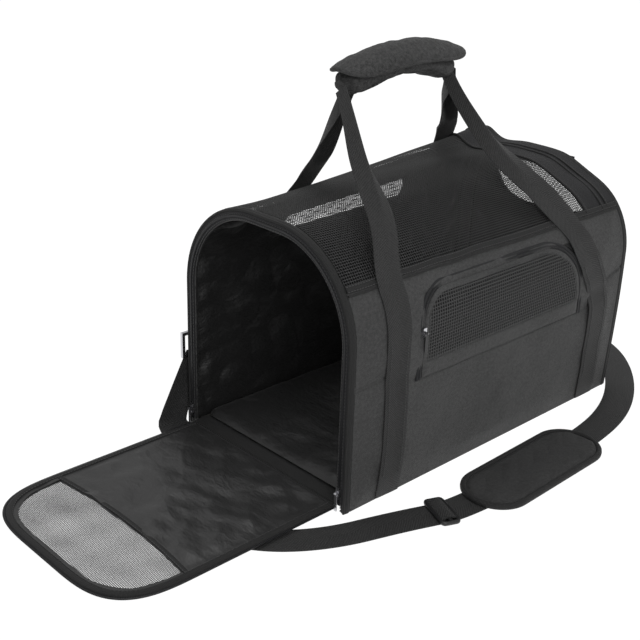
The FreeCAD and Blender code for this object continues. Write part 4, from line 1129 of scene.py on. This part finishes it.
def pocket_flap(side, way, body):
    """A pocket's cloth: the padded hem, and the rim round its mesh, each with stitches."""
    flap = Form()
    x = np.linspace(POCKET_FRONT + 0.6, POCKET_REAR - 0.6, 150)[:, None]
    z = POCKET_LOW + 1 + (POCKET_HEM - POCKET_LOW) * np.linspace(0, 1, 14)[None, :]
    edge = np.minimum(np.minimum(x - POCKET_FRONT, POCKET_REAR - x),
                      np.minimum(z - POCKET_LOW, POCKET_HEM + 1.5 - z))
    puff = 1.5 * ease(edge / 7) + 0.35 * ripple(x, z, 50, 101) * ease(edge / 10)
    flap.slab(on_wall(x, z, 2.0 + puff, way), on_wall(x, z, 0.5 + 0 * puff, way),
              even(x[:, 0], z[0]))
    rows = [pocket_edge(side, inset, POCKET_HEM - 1, 220)[:2]
            for inset in np.linspace(0.4, POCKET_RIM, 9)]
    x, z = (np.stack([row[k] for row in rows], 1) for k in range(2))
    puff = (1.5 * np.sin(np.pi * np.linspace(0, 1, 9)[None, :]) ** 0.6
            + 0.3 * ripple(x, z, 40, 103))
    flap.slab(on_wall(x, z, 1.8 + puff, way), on_wall(x, z, 0.5 + 0 * puff, way),
              np.stack([x, z], -1))
    for inset, off in ((POCKET_RIM - 1.6, 3.1), (1.8, 2.7)):
        x, z, _, _ = pocket_edge(side, inset, POCKET_HEM, 240)
        stitch(flap, on_wall(x, z, off, way), wall_out(x, z, way), finish=1)
    x = np.linspace(POCKET_FRONT + 8, POCKET_REAR - 8, 120)
    z = POCKET_HEM - 2.5 + 0 * x
    stitch(flap, on_wall(x, z, 3.4, way), wall_out(x, z, way), finish=1)
    flap.build(f"{side}_pocket_cloth", ["shell_fabric", "thread"], body,
               [f"{side}_pocket_flap"], "shell_fabric")


def pockets():
    """Each side's zipped pocket: cloth and mesh window on its flap, and the zip round it."""
    for side, way in SIDES:
        body = f"{side}_pocket"
        pocket_flap(side, way, body)
        net = Form()
        x, z, _, _ = pocket_edge(side, POCKET_RIM - 1, POCKET_HEM - 2, 260)
        net_of(net, x, z, 2.2, way, *POCKET_NET)
        net.build(f"{side}_pocket_net", ["mesh"], body, [f"{side}_pocket_mesh"], "mesh")
        track = Form()
        x, z, out_x, out_z = pocket_edge(side, -2.4, POCKET_LOW, 260)
        path, out = on_wall(x, z, 0.7, way), wall_out(x, z, way)
        ring_sweep(track, path, out, oval(6.5, 1.4, 10, 3))
        ahead = on_wall(x + out_x, z + out_z, 0.7, way) - path
        coil(track, path + out * 0.9, unit(ahead), out, finish=1)
        x, z, _, _ = pocket_edge(side, -6.2, POCKET_LOW - 1, 260)
        ring_sweep(track, on_wall(x, z, 0.6, way), wall_out(x, z, way), oval(4.2, 3.0, 10))
        track.build(f"{side}_pocket_track", ["zip_tape", "zip_coil"], "root",
                    [f"{side}_pocket_zip_track"], "zip_tape")


# ---- carry straps and grip -----------------------------------------------------------------

# each side's two legs, the left ones turned half round: where along the bag it lies half way
# up the wall, at its foot and at its top, and the points of its way from the wall to the grip
LEGS = {
    "right": (
        (-175, -181, -178, [(-171, -98, 314), (-165, -64, 370), (-150, -27, 413),
                            (-146, -16, 426)]),
        (192, 192, 128, [(84, -100, 300), (38, -66, 362), (24, -24, 414), (20, -16, 430)])),
    "left": (
        (-164, -181, -174, [(-163, -104, 274), (-138, -85, 314), (-115, -70, 347),
                            (-85, -50, 378), (-60, -28, 402), (-46, -17, 426)]),
        (192, 192, 90, [(88, -104, 274), (99, -76, 318), (110, -54, 356), (120, -21, 411),
                        (116, -15, 428)])),
}
LEG_FOLDS_FROM, LEG_FOLDS_BY = 280.0, 84.0


def leg(form, way, base, foot, top, tail):
    """One leg of a carry strap. Its crease follows the wall, then a smooth curve through tail
    to the grip. Its two halves, flat on the wall, turn about the crease towards each other
    from a height on, by an angle that eases to nearly a right angle."""
    width, gauge = size("webbing") - 2, size("webbing_gauge")
    z = np.concatenate([[2.0], np.linspace(14, 238, 26)])
    x = base + (top - base) * ease((z - 120) / 160) + (foot - base) * ease((75 - z) / 75)
    wall = on_wall(x, z, np.maximum(wall_relief(x, z), 0) * 0.8 + gauge / 2 + 0.5)
    path = curve_through(np.concatenate([wall, np.array(tail, float)]), 150)
    heading = unit(np.gradient(path, axis=0))
    side = unit(np.array([1.0, 0, 0]) - heading * heading[:, :1])
    inward = unit(np.cross(heading, side))
    inward = inward * np.where(inward[:, 1:2] < 0, -1, 1)
    share = ease((path[:, 2] - LEG_FOLDS_FROM) / (path[-1, 2] - LEG_FOLDS_FROM))
    turn = np.radians(LEG_FOLDS_BY) * share
    c = np.linspace(-width / 2, width / 2, 21)
    spread = c[None] * np.cos(turn)[:, None]
    depth = np.sqrt(c ** 2 + 4)[None] * np.sin(turn)[:, None]
    middle = path[:, None] + side[:, None] * spread[..., None] + inward[:, None] * depth[..., None]
    middle = turned(middle, way)
    outer, inner = thicken(middle, gauge, 0.5)
    form.slab(outer, inner, even(run_lengths(path), c))
    for edge in (3, -4):
        stitch(form, middle[8:60, edge] + turned(np.array([0, -1.15, 0]), way),
               turned(np.array([0, -1.0, 0]), way), finish=1)


def carry_straps():
    """The two webbing loops, each with a leg at either end of the bag, meeting in the grip."""
    for side, way in SIDES:
        form = Form()
        for places in LEGS[side]:
            leg(form, way, *places)
        form.build(f"{side}_strap", ["webbing", "thread"], "root", [f"{side}_carry_strap"],
                   "webbing")


# the cushion's ends along the bag, the place, height and bend of its top, its fall across per
# square of the half width, and its plan's superellipse powers
GRIP_FRONT, GRIP_REAR, GRIP_PEAK, GRIP_TOP, GRIP_BEND = -144.0, 47.0, -38.0, 461.5, 0.00158
GRIP_DROOP, GRIP_LONG_POWER, GRIP_WIDE_POWER = 0.0165, 4.2, 2.5


def grip_top(x):
    """The height of the grip's top along its middle: a parabola about its peak."""
    return GRIP_TOP - GRIP_BEND * (x - GRIP_PEAK) ** 2


def grip_cushion():
    """The saddle's padded top: a long oval that droops over the hand roll, crowned and quilted,
    with a corded rim. Its half width is a superellipse of its length."""
    form = Form()
    middle, half_long, half_wide = (GRIP_FRONT + GRIP_REAR) / 2, (GRIP_REAR - GRIP_FRONT) / 2, 30.0
    u = np.sin(np.linspace(-np.pi / 2, np.pi / 2, 130))[:, None]
    v = np.linspace(-1, 1, 46)[None, :]
    x = middle + half_long * u
    half = half_wide * (1 - np.abs(u) ** GRIP_LONG_POWER) ** (1 / GRIP_WIDE_POWER)
    y = half * v
    x = x + 0 * y
    edge = 1 - np.maximum(np.abs(v), np.abs(u)) ** 3
    droop = GRIP_DROOP * y ** 2
    quilt = 0.25 * ripple(x, y, 60, 111) + 0.3 * ripple(x, y, 20, 112)
    top = grip_top(x) - droop - 3.2 * (1 - edge) + quilt * ease(edge * 2)
    under = grip_top(x) - droop - 7.5 - 4.5 * ease(edge * 1.5)
    form.slab(np.stack([x, y, top], -1), np.stack([x, y, under], -1), np.stack([x, y], -1))
    turn = np.linspace(0, 2 * np.pi, 300, endpoint=False)
    u = np.sign(np.cos(turn)) * np.abs(np.cos(turn)) ** (2 / GRIP_LONG_POWER)
    y = half_wide * np.sign(np.sin(turn)) * np.abs(np.sin(turn)) ** (2 / GRIP_WIDE_POWER)
    x = middle + half_long * u
    path = np.stack([x, y, grip_top(x) - GRIP_DROOP * y ** 2 - 5.4], 1)
    path = resampled(np.concatenate([path, path[:1]]), 2.2)[:-1]
    ring_sweep(form, path, np.broadcast_to([0.0, 0, 1], path.shape), oval(3.0, 4.0, 10), True)
    return form


def roll_surface(share, around, grow=0.0):
    """The hand roll under the cushion: an oval section whose middle and size change along it."""
    at = [0, 0.15, 0.3, 0.5, 0.68, 0.85, 1]
    x = -141 + 175 * share
    end = 1 - (1 - ease(np.minimum(share, 1 - share) / 0.07)) * 0.6
    z = np.interp(share, at, [422, 426, 432, 436, 434, 428, 425])
    high = np.interp(share, at, [12, 12.5, 11, 9.5, 11, 14, 11]) * end + grow
    wide = np.interp(share, at, [17, 19, 21, 22, 22, 20, 17]) * end + grow
    folds = 0.45 * ripple(x, around * 20, 26, 113) + 0.4 * ripple(x, around * 20, 60, 114, lean=0.2)
    c, s = np.cos(around), np.sin(around)
    return np.stack([x + 0 * c, np.sign(c) * np.abs(c) ** 0.8 * wide + folds * c,
                     z + np.sign(s) * np.abs(s) ** 0.8 * high + folds * s], -1)


def grip():
    """The hand grip: cushion and roll round the straps, and the flap on the roll's side."""
    share = np.linspace(0, 1, 110)[:, None]
    form = grip_cushion()
    around = np.linspace(-0.84 * np.pi, 0.84 * np.pi, 80)[None, :]
    x = 200 * share[:, 0]
    form.slab(roll_surface(share, around), roll_surface(share, around, -4.5),
              even(x, around[0] * 20))
    made = form.build("grip_saddle_pad", ["grip_fabric"], "root", ["grip_saddle"], "grip_fabric")
    form = Form()
    around = np.linspace(0.845 * np.pi, 1.155 * np.pi, 24)[None, :]
    form.slab(roll_surface(share, around, 0.4), roll_surface(share, around, -4.1),
              even(x, around[0] * 20))
    made = form.build("grip_side_flap", ["grip_fabric"], "grip_cover", ["grip_cover"],
                      "grip_fabric")


# ---- shoulder strap ------------------------------------------------------------------------

STRAP_ROUTE = [
    (-225, 141.5, 85.5), (-246, 141.5, 48), (-266, 141.5, 9), (-268, 132, 0.9), (-290, 72, 0.9),
    (-352, 44, 0.9), (-378, -32, 0.9), (-352, -108, 0.9), (-292, -156, 0.9), (-206, -184, 0.9),
    (-136, -213, 0.9), (92, -208, 0.9), (196, -188, 0.9), (288, -134, 0.9), (352, -64, 0.9),
    (366, 14, 0.9), (330, 76, 0.9), (284, 86, 0.9), (268, 132, 0.9), (266, 141.5, 9),
    (246, 141.5, 48), (225, 141.5, 85.5),
]


def route_line():
    """The strap's middle line, read from a smooth spline through its route, in millimetres."""
    data = bpy.data.curves.new("strap_route", "CURVE")
    data.dimensions, data.resolution_u = "3D", 24
    spline = data.splines.new("NURBS")
    spline.points.add(len(STRAP_ROUTE) - 1)
    flat = np.array([(x * MM, y * MM, z * MM, 1) for x, y, z in STRAP_ROUTE])
    spline.points.foreach_set("co", flat.ravel())
    spline.order_u, spline.use_endpoint_u = 3, True
    holder = bpy.data.objects.new("strap_route", data)
    mesh = bpy.data.meshes.new_from_object(holder)
    points = np.empty(len(mesh.vertices) * 3)
    mesh.vertices.foreach_get("co", points)
    bpy.data.objects.remove(holder)
    return points.reshape(-1, 3) / MM


def resampled(path, pitch):
    """The path with points at about an even pitch."""
    return spaced(path, int(run_lengths(path)[-1] / pitch))


def strap_sides(path):
    """The direction across the strap at each point: square to its heading on the floor, and
    along the bag where it rises to a hook."""
    heading = unit(np.gradient(path, axis=0))
    flat = np.stack([-heading[:, 1], heading[:, 0], 0 * heading[:, 0]], 1)
    rises = ease((path[:, 2] - 2.5) / 8)[:, None]
    start = np.arange(len(path))[:, None] < len(path) / 2
    lead = np.where(start, [1.0, 0, 0], [-1.0, 0, 0])
    across = unit(flat * (1 - rises) + lead * rises)
    across = across - heading * (across * heading).sum(1, keepdims=True)
    return unit(across), heading


def shoulder_strap():
    """The flat strap, a ribbon along its route."""
    path = resampled(route_line(), 4.0)
    across, heading = strap_sides(path)
    width, gauge = size("strap_width"), size("strap_gauge")
    c = np.linspace(-width / 2, width / 2, 9)
    middle = path[:, None] + across[:, None] * c[None, :, None]
    form = Form()
    outer, inner = thicken(middle, gauge, 0.4)
    form.slab(outer, inner, even(run_lengths(path), c))
    made = form.build("shoulder_webbing", ["webbing"], "root", ["shoulder_strap"], "webbing")
    width * MM


# the stretch of the route that the pad lies on, and the pad's place in it
PAD_RUN, PAD_SHARE = (10, 11), 0.535
ADJUSTER_RUN = (9, 10)


def on_run(run, middle, u, v, z):
    """Points at u along and v across a straight run of the strap, at height z."""
    a, b = (np.array(STRAP_ROUTE[k][:2]) for k in run)
    middle = a + (b - a) * middle if np.isscalar(middle) else middle
    along = unit(b - a)
    u, v, z = np.broadcast_arrays(np.asarray(u, float), v, z)
    return np.stack([middle[0] + u * along[0] - v * along[1],
                     middle[1] + u * along[1] + v * along[0], z], -1)


def strap_pad():
    """The shoulder pad: a quilted stadium with a bound rim, over the strap."""
    def lay(u, v, z):
        return on_run(PAD_RUN, PAD_SHARE, u, v, z)
    half_u, half_v, round_end = 104.0, 36.5, 35.0
    form = Form()
    u = half_u * np.sin(np.linspace(-np.pi / 2, np.pi / 2, 150))[:, None]
    over = np.clip(np.abs(u) - (half_u - round_end), 0, round_end)
    half = half_v - round_end + np.sqrt(round_end ** 2 - over ** 2)
    v = half * np.linspace(-1, 1, 48)[None, :]
    edge = np.minimum(half - np.abs(v), half_u - np.abs(u))
    crown = ease(edge / 9)
    zigzag = np.abs(np.mod(v / 22, 2) - 1)
    quilt = 0.8 * np.abs(np.sin(np.pi * (u / 30 + zigzag))) ** 0.5 + 0.6 * ripple(u, v, 45, 121)
    top = 5.2 + (2.4 + quilt) * crown
    bottom = 3.6 - 3.2 * crown
    form.slab(lay(u, v, top), lay(u, v, bottom), np.stack([u + 0 * v, v], -1))
    turn = np.linspace(0, np.pi, 40)
    r = 37.0
    loop = np.concatenate([
        np.stack([half_u - r + 2 + r * np.sin(turn), r * np.cos(turn)], 1),
        np.stack([-(half_u - r + 2) - r * np.sin(turn), -r * np.cos(turn)], 1)])
    path = lay(*spaced(np.concatenate([loop, loop[:1]]), 260, endpoint=False).T, 4.4)
    up = np.broadcast_to([0.0, 0, 1], path.shape)
    ring_sweep(form, path, up, oval(7.0, 7.4, 14, 2.3), True, 1)
    made = form.build("shoulder_cushion", ["pad_fabric", "binding_tape"], "shoulder_pad",
                      ["shoulder_pad"], "pad_fabric")


def adjuster():
    """The plastic slide: a frame with a bar across, its edges rounded."""
    low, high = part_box("strap_adjuster")
    middle = np.array([(low.x + high.x) / 2, (low.y + high.y) / 2]) / MM
    long, wide = 12.0, 25.0

    def lay(u, v, z):
        return on_run(ADJUSTER_RUN, middle, u, v, z)
    ahead = lay(1, 0, 0) - lay(0, 0, 0)
    form = Form()
    turn = np.linspace(0, 2 * np.pi, 96, endpoint=False)
    c, s = np.cos(turn), np.sin(turn)
    u = np.sign(c) * np.abs(c) ** 0.25 * (long - 2.2)
    v = np.sign(s) * np.abs(s) ** 0.25 * (wide - 2.2)
    path = lay(u, v, 3.4)
    ring_sweep(form, path, np.broadcast_to([0.0, 0, 1], path.shape), oval(4.6, 4.6, 12, 3), True)
    v = np.linspace(-wide + 2, wide - 2, 30)
    path = lay(0 * v, v, 4.6)
    form.sweep(path, np.broadcast_to(ahead, path.shape),
               np.broadcast_to([0.0, 0, 1], path.shape), oval(4.4, 3.2, 12, 3))
    u = np.linspace(-long + 1.5, long - 1.5, 40)[:, None]
    v = np.linspace(-1, 1, 16)[None, :] * (size("strap_width") / 2 - 1)
    over = 2.6 + 4.4 * np.cos(u / (long - 1.5) * np.pi / 2) ** 0.7 + 0 * v
    form.slab(lay(u, v, over + 0.9), lay(u, v, over - 0.9),
              np.stack([u + 0 * v, v + 0 * u], -1), finish=1)
    form.build("adjuster_frame", ["plastic", "webbing"], "strap_adjuster", ["strap_adjuster"],
               "plastic")


def fittings():
    """Sewn tabs for the rings, and finishes for the metal parts that keep their own shape."""
    for end, _ in ENDS:
        low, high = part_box(f"{end}_ring_tab")
        ring_low, ring_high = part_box(f"{end}_d_ring")
        x = (low.x + high.x) / 2 / MM
        bar = np.array([(ring_low.y + ring_high.y) / 2, ring_high.z - 0.0017]) / MM
        turn = np.radians(np.linspace(-90, 90, 14))
        wall = size("bag_width") / 2
        loop = np.concatenate([
            [[wall + 1.2, 184], [wall + 1.2, 170]],
            bar + 3.0 * np.stack([np.cos(turn), np.sin(turn)], 1)[::-1],
            [[wall + 1.0, 150]]])
        path = curve_through(np.insert(loop, 0, x, axis=1), 60)
        c = np.linspace(-10, 10, 7)
        middle = path[:, None] + np.array([1.0, 0, 0]) * c[None, :, None]
        outer, inner = thicken(middle, 1.6, 0.3)
        form = Form()
        form.slab(outer, inner, even(run_lengths(path), c))
        form.build(f"{end}_tab", ["webbing"], "root", [f"{end}_ring_tab"], "webbing")
    finishes = {"slider": "slider_metal", "slider_pull": "pull_metal", "d_ring": "ring_metal",
                "hook": "ring_metal", "base_board": "board"}
    for name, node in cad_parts.items():
        finish = next((finishes[k] for k in finishes if name.endswith(k)), None)
        if finish is None:
            continue
        if name.endswith("pocket_slider_pull"):
            finish = "plastic"
        node.data.materials.clear()
        node.data.materials.append(bpy.data.materials[finish])


# ---- stage ---------------------------------------------------------------------------------

# each lamp's place, what it points at, its width in metres and its power
LAMPS = {
    "key": ((-1.05, -1.5, 1.15), (-0.15, 0, 0.18), 0.9, 15),
    "fill": ((2.2, -2.0, 1.4), (0, 0, 0.15), 2.0, 2),
    "top": ((0.2, 0.6, 3.0), (0, 0, 0.2), 1.4, 20),
}
FLOOR_HALF, FLOOR_GLOW, FLOOR_SHARE = 6, 1.17, 0.84


def stage():
    """Plain pale floor, soft lamps and the camera. The camera sees floor and background
    white; for the other rays the floor is plain matt and the background dimmer."""
    g = Graph.of_finish("stage_floor")
    cloth = g.node("ShaderNodeBsdfDiffuse", {}, {"Color": (0.9, 0.9, 0.9, 1)})
    glow = g.node("ShaderNodeEmission", {}, {"Color": (1, 1, 1, 1), "Strength": FLOOR_GLOW})
    mixed = g.node("ShaderNodeMixShader", {}, {0: g.seen(1.0) * FLOOR_SHARE, 1: cloth, 2: glow})
    g.node("ShaderNodeOutputMaterial", {}, {0: mixed})
    mesh = bpy.data.meshes.new("stage_floor")
    corners = [(x * FLOOR_HALF, y * FLOOR_HALF, 0) for x, y in ((-1, -1), (1, -1), (1, 1), (-1, 1))]
    mesh.from_pydata(corners, [], [(0, 1, 2, 3)])
    mesh.materials.append(g.owner)
    floor = bpy.data.objects.new("stage_floor", mesh)
    bpy.context.scene.collection.objects.link(floor)
    world = bpy.data.worlds.new("stage_world")
    bpy.context.scene.world = world
    w = Graph(world)
    lit = w.node("ShaderNodeBackground", {}, {
        "Color": (1, 1, 1, 1), "Strength": w.seen(0.4) * 0.74 + 0.28})
    w.node("ShaderNodeOutputWorld", {}, {0: lit})
    for name, (at, aim, wide, power) in LAMPS.items():
        lamp = bpy.data.lights.new(name, "AREA")
        lamp.energy, lamp.size = power, wide
        holder = bpy.data.objects.new(name, lamp)
        bpy.context.scene.collection.objects.link(holder)
        place_at(holder, at, np.array(aim) - np.array(at))
    camera()
    bpy.context.scene.view_settings.view_transform = "Standard"


def place_at(obj, at, aim, roll=0.0):
    """Stand an object at a point with its -Z along aim, then roll it about that line."""
    back = -unit(np.array(aim, float))
    right = unit(np.cross([0, 0, 1.0], back))
    up = np.cross(back, right)
    right, up = right * np.cos(roll) + up * np.sin(roll), up * np.cos(roll) - right * np.sin(roll)
    matrix = np.eye(4)
    matrix[:3, :3] = np.stack([right, up, back], 1)
    matrix[:3, 3] = at
    obj.matrix_world = Matrix(matrix.tolist())


# the point that the camera looks at, its distance in metres, its angles and its lens
CAMERA_AIM, CAMERA_REACH = (-0.07497, 0.08660, 0.10616), 1.397
CAMERA_TURN, CAMERA_RISE, CAMERA_ROLL, CAMERA_LENS = -44.01, 23.16, 1.84, 62.63


def camera():
    """The camera, by its azimuth, height and roll about a point on the bag."""
    turn, rise = np.radians([CAMERA_TURN, CAMERA_RISE])
    back = np.array([np.sin(turn) * np.cos(rise), -np.cos(turn) * np.cos(rise), np.sin(rise)])
    data = bpy.data.cameras.new("camera")
    data.lens, data.sensor_width = CAMERA_LENS, 36.0
    holder = bpy.data.objects.new("camera", data)
    bpy.context.scene.collection.objects.link(holder)
    place_at(holder, np.array(CAMERA_AIM) + back * CAMERA_REACH, -back, np.radians(CAMERA_ROLL))
    bpy.context.scene.camera = holder


# ---- operators and panel -------------------------------------------------------------------

class CARRIER_OT_finishes(bpy.types.Operator):
    """Make every fabric, tape, metal and plastic finish"""
    bl_idname, bl_label = "carrier.finishes", "Finishes"

    def execute(self, context):
        make_finishes()
        return {"FINISHED"}


class CARRIER_OT_stage(bpy.types.Operator):
    """Set up the floor, lamps and camera"""
    bl_idname, bl_label = "carrier.stage", "Stage"

    def execute(self, context):
        stage()
        return {"FINISHED"}


class CARRIER_OT_shoulder_strap(bpy.types.Operator):
    """Make the shoulder strap's pad, adjuster and webbing"""
    bl_idname, bl_label = "carrier.shoulder_strap", "Shoulder strap"

    def execute(self, context):
        strap_pad()
        adjuster()
        shoulder_strap()
        return {"FINISHED"}


class CARRIER_OT_walls(bpy.types.Operator):
    """Make the padded side walls with their vents"""
    bl_idname, bl_label = "carrier.walls", "Side walls"

    def execute(self, context):
        side_walls()
        return {"FINISHED"}


class CARRIER_OT_roof(bpy.types.Operator):
    """Make the mesh roof and its taped seams"""
    bl_idname, bl_label = "carrier.roof", "Roof"

    def execute(self, context):
        roof()
        return {"FINISHED"}


class CARRIER_OT_base(bpy.types.Operator):
    """Make the floor pad and base cloth"""
    bl_idname, bl_label = "carrier.base", "Base"

    def execute(self, context):
        base()
        return {"FINISHED"}


class CARRIER_OT_frames(bpy.types.Operator):
    """Make the arched rims, facings and zip tracks"""
    bl_idname, bl_label = "carrier.frames", "End frames"

    def execute(self, context):
        end_frames()
        return {"FINISHED"}


class CARRIER_OT_doors(bpy.types.Operator):
    """Make the two arched doors"""
    bl_idname, bl_label = "carrier.doors", "Doors"

    def execute(self, context):
        doors()
        return {"FINISHED"}


class CARRIER_OT_pockets(bpy.types.Operator):
    """Make the zipped side pockets"""
    bl_idname, bl_label = "carrier.pockets", "Pockets"

    def execute(self, context):
        pockets()
        return {"FINISHED"}


class CARRIER_OT_straps(bpy.types.Operator):
    """Make the carry straps"""
    bl_idname, bl_label = "carrier.straps", "Carry straps"

    def execute(self, context):
        carry_straps()
        return {"FINISHED"}


class CARRIER_OT_grip(bpy.types.Operator):
    """Make the padded hand grip"""
    bl_idname, bl_label = "carrier.grip", "Grip"

    def execute(self, context):
        grip()
        return {"FINISHED"}


class CARRIER_OT_fittings(bpy.types.Operator):
    """Make the ring tabs and finish the metal fittings"""
    bl_idname, bl_label = "carrier.fittings", "Fittings"

    def execute(self, context):
        fittings()
        return {"FINISHED"}


MAKERS = (
    CARRIER_OT_finishes, CARRIER_OT_stage, CARRIER_OT_shoulder_strap, CARRIER_OT_walls,
    CARRIER_OT_roof, CARRIER_OT_base, CARRIER_OT_frames, CARRIER_OT_doors, CARRIER_OT_pockets,
    CARRIER_OT_straps, CARRIER_OT_grip, CARRIER_OT_fittings,
)


class CARRIER_PT_panel(bpy.types.Panel):
    """The carrier's makers, sizes and colours, in the sidebar"""
    bl_idname, bl_label = "CARRIER_PT_panel", "Pet carrier"
    bl_space_type, bl_region_type, bl_category = "VIEW_3D", "UI", "Carrier"

    def draw(self, context):
        for maker in MAKERS:
            self.layout.operator(maker.bl_idname)
        for group in (context.scene.carrier_sizes, context.scene.carrier_colours):
            column = self.layout.column()
            for name in group.__annotations__:
                column.prop(group, name)


CLASSES = (CarrierSizes, CarrierColours, *MAKERS, CARRIER_PT_panel)


def register():
    for made in CLASSES:
        bpy.utils.register_class(made)
    bpy.types.Scene.carrier_sizes = bpy.props.PointerProperty(type=CarrierSizes)
    bpy.types.Scene.carrier_colours = bpy.props.PointerProperty(type=CarrierColours)


def unregister():
    del bpy.types.Scene.carrier_sizes, bpy.types.Scene.carrier_colours
    for made in reversed(CLASSES):
        bpy.utils.unregister_class(made)


def main():
    register()
    for maker in MAKERS:
        group, name = maker.bl_idname.split(".")
        getattr(getattr(bpy.ops, group), name)()


if __name__ == "__main__":
    main()
